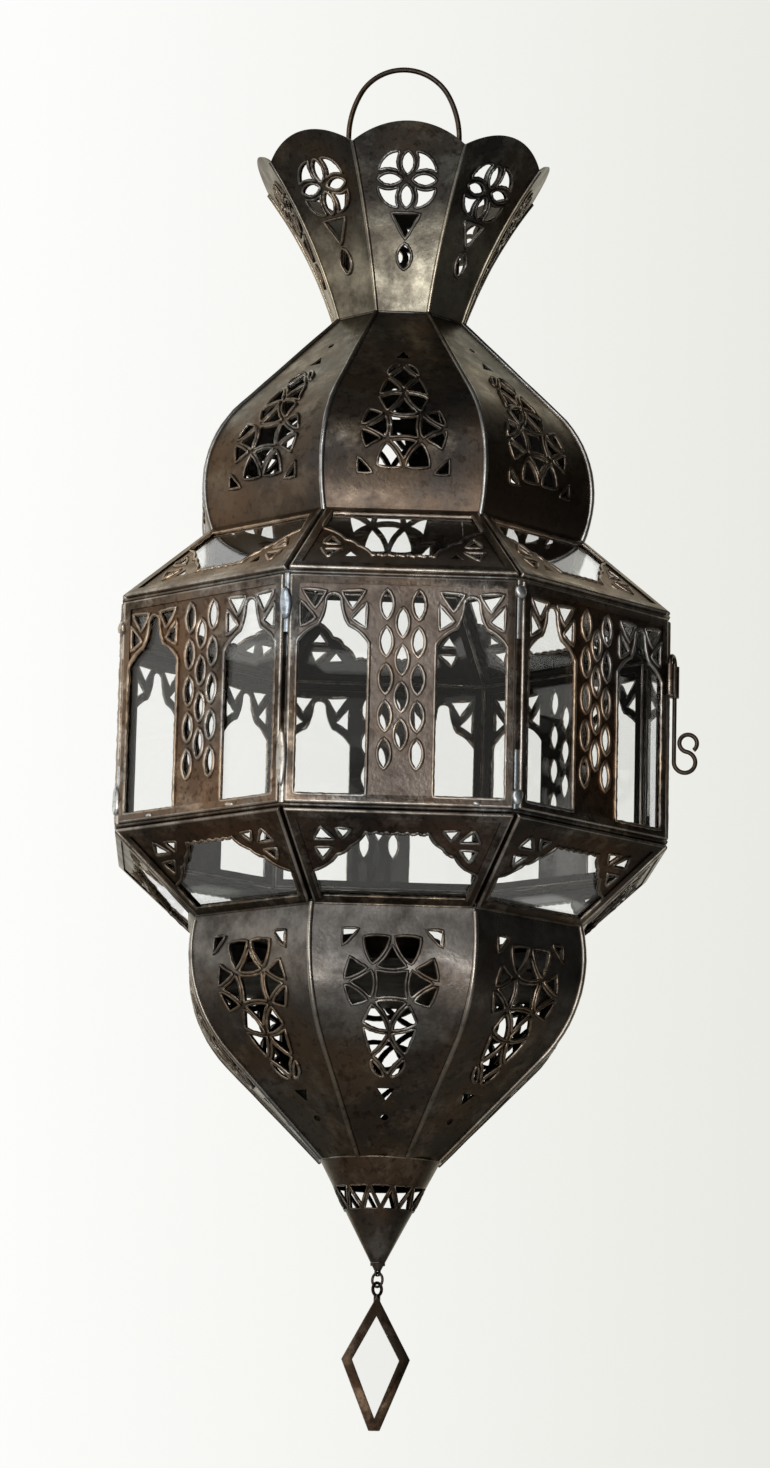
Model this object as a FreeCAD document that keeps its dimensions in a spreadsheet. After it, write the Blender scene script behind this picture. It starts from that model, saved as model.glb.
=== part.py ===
import FreeCAD, Part
import math
import os
import Sketcher
from FreeCAD import Placement, Rotation, Vector

# Moroccan hanging candle lantern, eight sided, in pierced sheet iron and glass.
# Millimetres, +Z up. The origin is the hanging point, under the top of the bail.
# The photographed face looks along -Y and the door is the panel on +X.

SIDES = 8
DOOR_SIDE = 2
SIDE_TURN = 360 / SIDES
AXIS = Vector(0, 0, 1)
ORIGIN = Vector(0, 0, 0)

SIZES = [
    # bail and the bridge that it turns in
    ("bail_wire_radius", 1.0),
    ("bail_half_span", 21.0),
    ("bail_side_offset", 15.0),
    ("bail_shoulder_step", 2.0),
    ("bail_bend_radius", 2.5),
    ("bail_end_length", 4.5),
    ("bail_axis_rise", 6.6),
    ("bridge_sheet", 1.2),
    ("bridge_width", 9.0),
    ("bridge_rise", 0.4),
    ("bridge_end_gap", 0.3),
    ("ear_reach", 16.5),
    ("ear_lip", 2.4),
    ("running_clearance", 0.06),
    # crown, dome and bulb, all in the same sheet
    ("body_sheet", 0.8),
    ("seam_gap", 0.05),
    ("hang_to_neck", 101.1),
    ("neck_apothem", 23.2),
    ("crown_height", 57.0),
    ("crown_mouth", 50.5),
    ("crown_bow", 2.5),
    ("crown_arch_rise", 8.5),
    ("dome_height", 86.3),
    ("dome_shoulder", 71.2),
    ("dome_round", 46.0),
    ("dome_foot_drop", 17.0),
    ("bulb_height", 84.5),
    ("bulb_shoulder", 70.9),
    ("bulb_round", 52.0),
    ("bulb_top_rise", 12.2),
    ("bulb_end_apothem", 21.5),
    ("strap_width", 1.9),
    ("dome_pattern_rise", 16.0),
    ("dome_pattern_height", 70.0),
    ("bulb_pattern_drop", 12.0),
    ("bulb_pattern_height", 74.9),
    # glazed tiers
    ("drum_apothem", 100.0),
    ("drum_height", 81.5),
    ("roof_rise", 29.0),
    ("skirt_drop", 28.5),
    ("tier_seat", 0.6),
    ("tier_gap", 0.05),
    ("came_face", 3.4),
    ("came_sheet", 0.5),
    ("came_lap", 2.4),
    ("fret_sheet", 0.6),
    ("glass_sheet", 1.6),
    ("pane_clearance", 0.1),
    ("pillar_half", 12.0),
    ("lens_half_width", 2.0),
    ("spandrel_reach", 23.0),
    # cone and hanging drop
    ("cone_radius", 21.8),
    ("cone_height", 41.7),
    ("cone_end_radius", 2.4),
    ("band_drop", 10.0),
    ("band_height", 7.6),
    ("band_strap", 1.5),
    ("tip_radius", 1.2),
    ("eye_sheet", 0.8),
    ("eye_radius", 1.3),
    ("eye_bore", 0.85),
    ("eye_rise", 1.4),
    ("link_radius", 2.5),
    ("link_wire_radius", 0.5),
    ("link_gap", 0.35),
    ("link_turn", 45.0),
    ("loop_radius", 2.3),
    ("loop_wire_radius", 0.6),
    ("drop_height", 48.5),
    ("drop_half_width", 12.4),
    ("drop_widest", 23.0),
    ("drop_tip_half", 2.0),
    ("drop_face", 3.5),
    ("drop_neck_radius", 1.25),
    ("drop_neck_length", 3.4),
    # candle holder
    ("plate_drop", 19.0),
    ("plate_gap", 0.3),
    ("cup_bore", 19.5),
    ("cup_depth", 15.0),
    # door, hinge and latch
    ("door_clearance", 0.4),
    ("hinge_stand", 1.0),
    ("hinge_inset", 9.0),
    ("knuckle_radius", 1.6),
    ("knuckle_length", 6.0),
    ("knuckle_gap", 0.3),
    ("hinge_pin_radius", 0.8),
    ("hinge_head_height", 0.8),
    ("leaf_length", 5.5),
    ("leaf_sheet", 0.6),
    ("face_gap", 0.05),
    ("latch_wire_radius", 0.8),
    ("latch_tube_radius", 1.65),
    ("latch_tube_length", 11.5),
    ("latch_tube_drop", 17.3),
    ("latch_tube_inset", 1.2),
    ("latch_hang", 0.4),
    ("latch_leg_drop", 23.5),
    ("curl_low_radius", 3.9),
    ("curl_high_radius", 3.2),
    # solder in the corner grooves
    ("solder_length", 21.0),
    ("solder_depth", 2.2),
]

doc = FreeCAD.newDocument("lantern")
sheet = doc.addObject("Spreadsheet::Sheet", "sizes")
for row, (alias, number) in enumerate(SIZES, start=1):
    sheet.set(f"A{row}", alias)
    sheet.set(f"B{row}", str(number))
    sheet.setAlias(f"B{row}", alias)
doc.recompute()

pieces = []


def value(expression):
    return float(sheet.evalExpression(expression))


def size(alias):
    return value(f"sizes.{alias} * 1")


# Lengths and angles that follow from the driving sizes
SEAM = f"tan({SIDE_TURN / 2})"
SEAM_RATIO = math.tan(math.radians(SIDE_TURN / 2))
SEAT_DEPTH = "(sizes.glass_sheet + sizes.fret_sheet + 2 * sizes.pane_clearance)"
CAME_DEPTH = f"(2 * sizes.came_sheet + {SEAT_DEPTH})"
PANE_INSET = "(sizes.came_face - sizes.came_lap)"
DOME_CHORD = "sqrt(sizes.dome_round ^ 2 - sizes.dome_foot_drop ^ 2)"
DOME_FOOT = f"(sizes.dome_shoulder - sizes.dome_round + {DOME_CHORD})"
BULB_CHORD = "sqrt(sizes.bulb_round ^ 2 - sizes.bulb_top_rise ^ 2)"
BULB_TOP = f"(sizes.bulb_shoulder - sizes.bulb_round + {BULB_CHORD})"
ROOF_TOP = f"({DOME_FOOT} + sizes.tier_seat)"
SKIRT_BOTTOM = f"({BULB_TOP} + sizes.tier_seat)"
ROOF_LEAN = f"atan((sizes.drum_apothem - {ROOF_TOP}) / sizes.roof_rise)"
SKIRT_LEAN = f"atan((sizes.drum_apothem - {SKIRT_BOTTOM}) / sizes.skirt_drop)"
CROWN_CHORD = "sqrt((sizes.crown_mouth - sizes.neck_apothem) ^ 2 + sizes.crown_height ^ 2)"
CROWN_CHORD_LEAN = "atan((sizes.crown_mouth - sizes.neck_apothem) / sizes.crown_height)"
CROWN_FOOT_LEAN = f"({CROWN_CHORD_LEAN} - 2 * atan(2 * sizes.crown_bow / {CROWN_CHORD}))"
NECK_Z = "(-sizes.hang_to_neck)"
DOME_FOOT_Z = f"({NECK_Z} - sizes.dome_height)"
ROOF_TOP_Z = f"({DOME_FOOT_Z} - sizes.tier_gap + sizes.tier_seat * tan({ROOF_LEAN}))"
ROOF_BOTTOM_Z = f"({ROOF_TOP_Z} - sizes.roof_rise)"
DRUM_TOP_Z = f"({ROOF_BOTTOM_Z} - sizes.tier_gap - {CAME_DEPTH} * sin({ROOF_LEAN}))"
DRUM_BOTTOM_Z = f"({DRUM_TOP_Z} - sizes.drum_height)"
SKIRT_TOP_Z = f"({DRUM_BOTTOM_Z} - sizes.tier_gap - {CAME_DEPTH} * sin({SKIRT_LEAN}))"
SKIRT_BOTTOM_Z = f"({SKIRT_TOP_Z} - sizes.skirt_drop)"
BULB_TOP_Z = f"({SKIRT_BOTTOM_Z} - sizes.tier_gap + sizes.tier_seat * tan({SKIRT_LEAN}))"
BULB_END_Z = f"({BULB_TOP_Z} - sizes.bulb_height)"
CONE_TOP_Z = f"({BULB_END_Z} - sizes.tier_gap)"
CONE_TIP_Z = f"({CONE_TOP_Z} - sizes.cone_height)"
BAIL_AXIS_Z = f"({NECK_Z} + sizes.bail_axis_rise)"
BRIDGE_TOP_Z = f"({NECK_Z} + sizes.bridge_rise + sizes.bridge_sheet)"
EYE_Z = f"({CONE_TIP_Z} + sizes.eye_rise)"
LINK_LOW_Z = f"({EYE_Z} - 2 * sizes.link_radius)"
LOOP_TOP_Z = f"({LINK_LOW_Z} + sizes.link_wire_radius + sizes.loop_wire_radius + sizes.link_gap)"
DROP_TOP_Z = f"({LOOP_TOP_Z} - 2 * sizes.loop_radius)"
PLATE_Z = f"({BULB_TOP_Z} - sizes.plate_drop)"


def keep(label, piece):
    piece.Label = label
    pieces.append(piece)
    return piece


def keep_shape(label, shape, placement=None):
    """A piece whose outline has no sketch or primitive of its own."""
    piece = doc.addObject("Part::Feature", label)
    piece.Shape = shape
    if placement is not None:
        piece.Placement = placement
    return keep(label, piece)


def turned(angle):
    return Placement(ORIGIN, Rotation(AXIS, angle))


def on_ring(side, apothem, level, lean=0.0):
    """Local x runs along the side, y up the panel and z out of its outer face."""
    stand = Placement(Vector(0, -apothem, level), Rotation(Vector(1, 0, 0), 90 - lean))
    return turned(side * SIDE_TURN).multiply(stand)


def moved(shape, placement):
    copy = shape.copy()
    copy.Placement = placement.multiply(copy.Placement)
    return copy


def bound(kind, label, **expressions):
    """A Part primitive whose properties follow the sheet."""
    item = doc.addObject(kind, label)
    for name, expression in expressions.items():
        item.setExpression(name, expression)
    return item


def cut(label, base, tool):
    item = doc.addObject("Part::Cut", label)
    item.Base = base
    item.Tool = tool
    return item


def fuse(label, first, second):
    item = doc.addObject("Part::Fuse", label)
    item.Base = first
    item.Tool = second
    return item


# Outlines made of straight and round edges
def edge(start, end, bulge=0.0):
    """A line, or an arc that stands out to the left of the way from start to end."""
    if abs(bulge) < 1e-6:
        return Part.LineSegment(start, end).toShape()
    along = end - start
    aside = Vector(-along.y, along.x, 0).normalize()
    return Part.Arc(start, (start + end) * 0.5 + aside * bulge, end).toShape()


def loop(corners):
    """Closed wire through (x, y) or (x, y, bulge); the bulge shapes the edge that leaves the corner."""
    points = [Vector(corner[0], corner[1], 0) for corner in corners]
    bulges = [corner[2] if len(corner) > 2 else 0.0 for corner in corners]
    following = points[1:] + points[:1]
    return Part.Wire([edge(*ends) for ends in zip(points, following, bulges)])


def mirror_corners(corners):
    """The same loop on the other side of the centre line, run the other way round."""
    count = len(corners)
    result = []
    for index in range(count):
        here = corners[-index % count]
        leaving = corners[(-index - 1) % count]
        bulge = leaving[2] if len(leaving) > 2 else 0.0
        result.append((-here[0], here[1], bulge))
    return result


def both_sides(corner_loops):
    return corner_loops + [mirror_corners(corners) for corners in corner_loops]


def lens(x, y, half_width, half_length):
    return [(x, y - half_length, -half_width), (x, y + half_length, -half_width)]


def plate(outline, holes, depth, front):
    """Flat pierced sheet in the panel's own frame, its front face at z = front."""
    face = Part.makeFace([outline, *holes], "Part::FaceMakerBullseye")
    face.translate(Vector(0, 0, front))
    return face.extrude(Vector(0, 0, -depth))


def round_wire(label, path, radius, start):
    """Solid wire of one thickness along a smooth path, from a round section at its start."""
    spine = doc.addObject("Part::Feature", label + "_path")
    spine.Shape = Part.Wire(path)
    section = bound("Part::Circle", label + "_section", Radius=radius)
    section.Placement = start
    sweep = doc.addObject("Part::Sweep", label)
    sweep.Sections = [section]
    sweep.Spine = (spine, [f"Edge{number}" for number in range(1, len(path) + 1)])
    sweep.Solid = True
    sweep.Frenet = True
    return sweep


# Sketches that follow the sheet
def origin_plane(body, role):
    return next(item for item in body.Origin.OriginFeatures if item.Role == role)


def outline_sketch(body, name, right_side, depth="0"):
    """Polygon, alike on both sides of the Y axis, from the (half width, level) of its right corners."""
    sketch = body.newObject("Sketcher::SketchObject", name)
    sketch.AttachmentSupport = [(origin_plane(body, "XY_Plane"), "")]
    sketch.MapMode = "FlatFace"
    sketch.setExpression("AttachmentOffset.Base.z", depth)
    corners = [(half, level, 0 if half == "0" else 1) for half, level in right_side]
    corners += [(half, level, -1) for half, level, hand in reversed(corners) if hand]
    points = [Vector(hand * value(f"{half} * 1"), value(f"{level} * 1"), 0) for half, level, hand in corners]
    count = len(points)
    for number in range(count):
        sketch.addGeometry(Part.LineSegment(points[number], points[(number + 1) % count]))
    for number in range(count):
        sketch.addConstraint(Sketcher.Constraint("Coincident", number, 2, (number + 1) % count, 1))
    for number, (half, level, hand) in enumerate(corners):
        if hand < 0:
            partner = corners.index((half, level, 1))
            sketch.addConstraint(Sketcher.Constraint("Symmetric", number, 1, partner, 1, -2))
            continue
        if hand:
            from_middle = Sketcher.Constraint("DistanceX", -1, 1, number, 1, points[number].x)
            across = sketch.addConstraint(from_middle)
            sketch.setExpression(f"Constraints[{across}]", half)
        else:
            sketch.addConstraint(Sketcher.Constraint("PointOnObject", number, 1, -2))
        if level == "0":
            sketch.addConstraint(Sketcher.Constraint("PointOnObject", number, 1, -1))
        else:
            from_base = Sketcher.Constraint("DistanceY", -1, 1, number, 1, points[number].y)
            up = sketch.addConstraint(from_base)
            sketch.setExpression(f"Constraints[{up}]", level)
    return sketch


def pad(body, sketch, length):
    feature = body.newObject("PartDesign::Pad", sketch.Name + "_pad")
    feature.Profile = sketch
    feature.setExpression("Length", length)
    feature.Reversed = True
    return feature


def pocket(body, sketch, length):
    doc.recompute()
    before = body.Shape.Volume
    feature = body.newObject("PartDesign::Pocket", sketch.Name + "_pocket")
    feature.Profile = sketch
    feature.setExpression("Length", length)
    doc.recompute()
    if body.Shape.Volume >= before:
        raise RuntimeError(f"{feature.Name} cuts nothing")
    return feature


# Glazed panels: a folded came around a pierced sheet and a pane
class Panel:
    """Trapezium between two rings, narrow enough that its square edges meet the next panel's."""

    def __init__(self, low, high, lean, height, clearance="0"):
        self.height = f"({height} - 2 * {clearance})"
        margin = f"(sizes.seam_gap + {clearance})"
        self.low_half = f"(({low} - {CAME_DEPTH} * cos({lean})) * {SEAM} - {margin})"
        self.high_half = f"(({high} - {CAME_DEPTH} * cos({lean})) * {SEAM} - {margin})"
        self.slope = f"(({self.low_half} - {self.high_half}) / {self.height})"

    def half_at(self, level, inset):
        return f"({self.low_half} - {self.slope} * {level} - {inset} * sqrt(1 + {self.slope} ^ 2))"

    def inset(self, inset):
        top = f"({self.height} - {inset})"
        return [(self.half_at(inset, inset), inset), (self.half_at(top, inset), top)]

    def corners(self, inset):
        right = [(value(half), value(level)) for half, level in self.inset(inset)]
        return right + [(-half, level) for half, level in reversed(right)]


def came(label, panel):
    body = doc.addObject("PartDesign::Body", label)
    outer = [(panel.low_half, "0"), (panel.high_half, panel.height)]
    groove = f"({PANE_INSET} - sizes.pane_clearance)"
    pad(body, outline_sketch(body, label + "_outline", outer), CAME_DEPTH)
    pocket(body, outline_sketch(body, label + "_opening", panel.inset("sizes.came_face")), CAME_DEPTH)
    seat = outline_sketch(body, label + "_groove", panel.inset(groove), "-sizes.came_sheet")
    pocket(body, seat, SEAT_DEPTH)
    return body


def pane(label, panel):
    body = doc.addObject("PartDesign::Body", label)
    front = "-sizes.came_sheet - sizes.fret_sheet - sizes.pane_clearance"
    pad(body, outline_sketch(body, label + "_outline", panel.inset(PANE_INSET), front), "sizes.glass_sheet")
    doc.recompute()
    return body


def fretwork(panel, corner_loops):
    outline = loop(panel.corners(PANE_INSET))
    holes = [loop(corners) for corners in corner_loops]
    front = value("-sizes.came_sheet - sizes.pane_clearance / 2")
    return plate(outline, holes, size("fret_sheet"), front)


def arch_fretwork(panel):
    """Two ogee arches beside a pillar that is pierced by three columns of lenses."""
    height = value(panel.height)
    pillar = size("pillar_half")
    jamb, sill = (value(term) for term in panel.inset("sizes.came_face")[0])
    half = (jamb - pillar) / 2
    middle = (jamb + pillar) / 2
    spring = 0.70 * height
    shoulder = 0.775 * height
    head = 0.885 * height
    waist = 0.42 * half
    neck = 0.20 * half
    swell = 0.06 * half
    sway = 0.05 * half
    arch = [(jamb, sill), (jamb, spring, -swell), (middle + waist, shoulder, sway),
            (middle + neck, head, -0.9 * neck), (middle - neck, head, sway),
            (middle - waist, shoulder, -swell), (pillar, spring), (pillar, sill)]
    high_hole = [(0.24, 0.923), (0.88, 0.929), (0.53, 0.852)]
    low_hole = [(0.93, 0.875), (0.53, 0.806), (0.91, 0.770)]
    spandrels = [[(middle + hand * across * half, up * height) for across, up in hole]
                 for hole in (high_hole, low_hole) for hand in (1, -1)]
    pitch = 0.163 * height
    lens_half = 0.063 * height
    columns = [(0.0, 0.795, 4), (0.47, 0.873, 5), (-0.47, 0.873, 5)]
    lenses = [lens(across * pillar, top * height - row * pitch, size("lens_half_width"), lens_half)
              for across, top, rows in columns for row in range(rows)]
    return fretwork(panel, both_sides([arch] + spandrels) + lenses)


def corner_fretwork(panel, wide_end):
    """Pierced spandrels and a scalloped strip along the wide end, the rest left open."""
    height = value(panel.height)

    def inner(depth):
        level = depth if wide_end == "low" else height - depth
        return value(panel.half_at(str(level), "sizes.came_face"))

    def inward(loops):
        if wide_end == "low":
            return loops
        return [[(x, height - y, -bulge) for x, y, bulge in corners] for corners in loops]

    strip = 0.235 * height
    spandrel = size("spandrel_reach")
    reach = inner(strip) - spandrel

    def set_back(back, depth):
        return inner(depth * height) - back * spandrel, depth * height

    lobes = [(0.0, 0.66, 0.03), (0.457, 0.48, 0.02), (0.696, 0.39, 0.02)]
    right = [(*set_back(back, depth), -bulge * height) for back, depth, bulge in lobes]
    scallops = 6
    pitch = 2 * reach / scallops
    across = [(reach - pitch * number, strip, -0.2 * pitch) for number in range(scallops)]
    left_points = [(-reach, strip)] + [(-x, y) for x, y, bulge in reversed(right)]
    left_bulges = [bulge for x, y, bulge in reversed(right)] + [0.0]
    left = [(x, y, bulge) for (x, y), bulge in zip(left_points, left_bulges)]
    far = height - size("came_face")
    opening = right + across + left + [(-inner(far), far, 0.0), (inner(far), far, 0.0)]
    triangles = [[(0.174, 0.32), (0.33, 0.195), (0.478, 0.32)], [(0.565, 0.2), (0.783, 0.21), (0.622, 0.3)],
                 [(0.157, 0.41), (0.409, 0.405), (0.217, 0.52)]]
    holes = [[(*set_back(back, depth), 0.0) for back, depth in triangle] for triangle in triangles]
    return fretwork(panel, inward([opening] + both_sides(holes)))


# Single-curved sheets of the crown, the dome and the bulb
class GoreProfile:
    """Straight from the narrow end, then round over the shoulder to the foot, in (apothem, height)."""

    def __init__(self, narrow, shoulder, radius, foot_drop, height):
        self.radius = radius
        self.reach = shoulder + radius
        self.centre = Vector(shoulder - radius, foot_drop, 0)
        self.narrow = Vector(narrow, height, 0)
        reach = self.narrow - self.centre
        self.low_angle = -math.asin(foot_drop / radius)
        self.high_angle = math.atan2(reach.y, reach.x) - math.acos(radius / reach.Length)
        self.round_length = radius * (self.high_angle - self.low_angle)

    def outward(self, angle):
        return Vector(math.cos(angle), math.sin(angle), 0)

    def at(self, length):
        """Point on the outer face, by the length of sheet from the foot."""
        if length <= self.round_length:
            return self.centre + self.outward(self.low_angle + length / self.radius) * self.radius
        tangent = self.outward(self.high_angle + math.pi / 2)
        start = self.centre + self.outward(self.high_angle) * self.radius
        return start + tangent * (length - self.round_length)

    def section(self, depth):
        middle = self.outward((self.low_angle + self.high_angle) / 2)
        low = self.outward(self.low_angle)
        high = self.outward(self.high_angle)
        far = self.radius
        near = self.radius - depth
        outer = [self.centre + way * far for way in (low, middle, high)]
        inner = [self.centre + way * near for way in (high, middle, low)]
        rim = self.narrow - high * depth
        return Part.Face(Part.Wire([
            Part.Arc(*outer).toShape(),
            Part.LineSegment(outer[2], self.narrow).toShape(),
            Part.LineSegment(self.narrow, rim).toShape(),
            Part.LineSegment(rim, inner[0]).toShape(),
            Part.Arc(*inner).toShape(),
            Part.LineSegment(inner[2], outer[0]).toShape(),
        ]))


class FlareProfile:
    """Hollow curve from the neck out to the mouth, and on to the top of the arch, in (apothem, height)."""

    def __init__(self, neck, mouth, height, bow, arch_rise):
        chord = Vector(mouth - neck, height, 0)
        outward = Vector(chord.y, -chord.x, 0).normalize()
        self.radius = chord.Length ** 2 / (8 * bow) + bow / 2
        self.reach = 2 * mouth
        self.centre = Vector(neck, 0, 0) + chord * 0.5 + outward * (self.radius - bow)
        self.foot_angle = math.atan2(-self.centre.y, neck - self.centre.x)
        self.mouth_length = 2 * self.radius * math.asin(chord.Length / 2 / self.radius)
        self.top_length = self.mouth_length + 1.5 * arch_rise

    def at(self, length, depth=0.0):
        """Point on the outer face, or that deep in the sheet, by the length of sheet from the neck."""
        angle = self.foot_angle - length / self.radius
        return self.centre + Vector(math.cos(angle), math.sin(angle), 0) * (self.radius + depth)

    def section(self, depth):
        stations = (0, self.top_length / 2, self.top_length)
        outer = [self.at(length) for length in stations]
        inner = [self.at(length, depth) for length in reversed(stations)]
        return Part.Face(Part.Wire([
            Part.Arc(*outer).toShape(),
            Part.LineSegment(outer[2], inner[0]).toShape(),
            Part.Arc(*inner).toShape(),
            Part.LineSegment(inner[2], outer[0]).toShape(),
        ]))


def interlace(height):
    """Holes of the interlaced circular straps, as wires in (across, up the sheet) from the wide end."""
    drawn_height = 70.0
    scale = height / drawn_height
    crossings = {
        "top": (0.0, 51.7), "high": (5.9, 42.3), "cross": (0.0, 32.4), "wing": (9.6, 29.1),
        "middle": (6.5, 21.5), "branch": (13.0, 23.7), "flank": (16.2, 14.9), "low": (6.5, 9.8),
        "hem": (13.9, 5.4), "foot": (0.0, -0.6), "toe": (10.0, -0.4),
    }
    crossings.update({"left " + name: (-x, y) for name, (x, y) in crossings.items() if x > 0})
    bends = {
        ("top", "high"): -0.8, ("high", "cross"): -0.9, ("cross", "wing"): 1.0, ("high", "wing"): 0.3,
        ("cross", "middle"): -1.3, ("wing", "middle"): 0.0, ("middle", "left middle"): 1.2,
        ("middle", "branch"): 0.0, ("branch", "flank"): 0.3, ("middle", "flank"): -1.0,
        ("middle", "low"): -1.3, ("flank", "low"): -0.7, ("flank", "hem"): 0.3, ("low", "hem"): 0.8,
        ("low", "left low"): -1.2, ("low", "foot"): -1.3, ("low", "toe"): 1.0, ("foot", "toe"): -0.6,
    }

    def flip(name):
        if crossings[name][0] == 0:
            return name
        return name[5:] if name.startswith("left ") else "left " + name

    def bend(first, second):
        if (first, second) in bends:
            return bends[first, second]
        if (second, first) in bends:
            return -bends[second, first]
        return -bend(flip(first), flip(second))

    centre = [("top", "left high", "cross", "high"), ("cross", "left middle", "middle"),
              ("middle", "left middle", "left low", "low"), ("low", "left low", "foot")]
    right = [("high", "cross", "wing"), ("cross", "middle", "wing"), ("middle", "flank", "branch"),
             ("middle", "low", "flank"), ("low", "hem", "flank"), ("low", "foot", "toe")]
    names = centre + right + [tuple(flip(name) for name in hole) for hole in right]
    corner_loops = [[(*crossings[here], bend(here, there)) for here, there in zip(hole, hole[1:] + hole[:1])]
                    for hole in names]
    corner_loops += both_sides([[(*crossings["top"], 2.7), (*crossings["high"], -bends["top", "high"])]])
    strap = size("strap_width")
    scaled = [[(x * scale, y * scale, bulge * scale) for x, y, bulge in corners] for corners in corner_loops]
    holes = [loop(corners).makeOffset2D(-strap / 2) for corners in scaled]
    corner_hole = [(11.4, -2.4), (16.2, -2.4), (16.2, 2.8)]
    peak_hole = [(-2.9, 55.6), (2.9, 55.6), (0.0, 60.6)]
    plain = both_sides([corner_hole]) + [peak_hole]
    holes += [loop([(point[0] * scale, point[1] * scale) for point in corners]) for corners in plain]
    drop_hole = Part.makeCircle(1.3 * scale, Vector(0, 67.9 * scale, 0))
    return holes + [Part.Wire(drop_hole)]


def projected(wire, profile, start):
    """The flat hole as seen straight at the side, once the sheet is bent to the profile."""
    def bent(point):
        return Vector(point.x, profile.at(start + point.y).y, 0)

    edges = []
    for piece in wire.OrderedEdges:
        first, last = piece.ParameterRange
        halves = [first, (first + last) / 2, last] if piece.Closed else [first, last]
        for low, high in zip(halves, halves[1:]):
            edges.append(through(*[bent(piece.valueAt(at)) for at in (low, (low + high) / 2, high)]))
    return Part.Wire(Part.sortEdges(edges)[0])


def through(start, middle, end):
    """An arc through three points, or a line where they lie in a row."""
    chord = end - start
    if middle is None or chord.cross(middle - start).Length < 0.01 * chord.Length:
        return Part.LineSegment(start, end).toShape()
    return Part.Arc(start, middle, end).toShape()


def front_prism(wire, profile, start):
    """Everything in front of the axis that lies behind the flat outline once the sheet is bent."""
    face = Part.Face(projected(wire, profile, start))
    face.rotate(ORIGIN, Vector(1, 0, 0), 90)
    return face.extrude(Vector(0, -profile.reach, 0))


def gore(profile, holes, pattern_start):
    """One sheet of the front side, foot at z = 0, cut off at the two seams and pierced."""
    sheet_depth = size("body_sheet")
    reach = profile.reach
    section = profile.section(sheet_depth)
    section.rotate(ORIGIN, Vector(1, 0, 0), 90)
    section.rotate(ORIGIN, AXIS, -90)
    section.translate(Vector(-reach, 0, 0))
    blank = section.extrude(Vector(2 * reach, 0, 0))
    gap = size("seam_gap")
    span = reach * SEAM_RATIO
    wedge = Part.Face(Part.makePolygon([Vector(0, -gap / SEAM_RATIO, 0), Vector(span - gap, -reach, 0),
                                        Vector(gap - span, -reach, 0), Vector(0, -gap / SEAM_RATIO, 0)]))
    wedge.translate(Vector(0, 0, -reach))
    blank = blank.common(wedge.extrude(Vector(0, 0, 3 * reach)))
    return blank.cut([front_prism(hole, profile, pattern_start) for hole in holes]).Solids[0]


# Bail: arch of round wire, legs down inside the crown, ends turned inward through the ears
def make_bail():
    half = size("bail_half_span")
    offset = size("bail_side_offset")
    bend = size("bail_bend_radius")
    top_z = size("bail_wire_radius")
    axis_z = value(BAIL_AXIS_Z)
    side = half + offset
    top_radius = half - size("bail_shoulder_step")
    top_centre_z = top_z - top_radius
    spring_z = top_centre_z - math.sqrt((side - top_radius) ** 2 - offset ** 2)
    join_angle = math.atan2(top_centre_z - spring_z, offset)
    side_centre = Vector(-offset, 0, spring_z)

    def on_side(angle):
        return side_centre + Vector(math.cos(angle), 0, math.sin(angle)) * side

    def flipped(point):
        return Vector(-point.x, 0, point.z)

    end = Vector(half - bend - size("bail_end_length"), 0, axis_z)
    bend_in = Vector(half - bend, 0, axis_z)
    diagonal = bend * math.sqrt(0.5)
    bend_middle = Vector(half - bend + diagonal, 0, axis_z + bend - diagonal)
    bend_out = Vector(half, 0, axis_z + bend)
    spring = Vector(half, 0, spring_z)
    join = on_side(join_angle)
    right = [(end, None, bend_in), (bend_in, bend_middle, bend_out), (bend_out, None, spring),
             (spring, on_side(join_angle / 2), join)]
    left = [tuple(point and flipped(point) for point in reversed(stretch)) for stretch in reversed(right)]
    stretches = right + [(join, Vector(0, 0, top_z), flipped(join))] + left
    path = [through(*stretch) for stretch in stretches]
    start = Placement(end, Rotation(Vector(0, 1, 0), 90))
    keep("bail", round_wire("bail", path, "sizes.bail_wire_radius", start))


# Hanger bridge: strip across the neck with two ears bent up, each bored for an end of the bail
def make_hanger_bridge():
    half_length = f"(sizes.neck_apothem - sizes.body_sheet / cos({CROWN_FOOT_LEAN}) - sizes.bridge_end_gap)"
    sheet_depth = size("bridge_sheet")
    width = size("bridge_width")
    top = value(BRIDGE_TOP_Z)
    strip = bound("Part::Box", "bridge_strip", Length=f"2 * {half_length}", Width="sizes.bridge_width",
                  Height="sizes.bridge_sheet")
    strip.Placement.Base = Vector(-value(half_length), -width / 2, top - sheet_depth)
    bridge = strip
    for hand in (1, -1):
        ear = bound("Part::Box", "bridge_ear", Length="sizes.bridge_sheet", Width="sizes.bridge_width",
                    Height=f"{BAIL_AXIS_Z} - {BRIDGE_TOP_Z} + sizes.bail_wire_radius + sizes.ear_lip")
        ear.Placement.Base = Vector(hand * size("ear_reach") - sheet_depth / 2, -width / 2, top)
        bridge = fuse("bridge_bent", bridge, ear)
    bore = bound("Part::Cylinder", "bridge_bore", Radius="sizes.bail_wire_radius + sizes.running_clearance",
                 Height="4 * sizes.bail_half_span")
    bore.Placement = Placement(Vector(-2 * size("bail_half_span"), 0, value(BAIL_AXIS_Z)),
                               Rotation(Vector(0, 1, 0), 90))
    keep("hanger_bridge", cut("hanger_bridge", bridge, bore))


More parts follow.
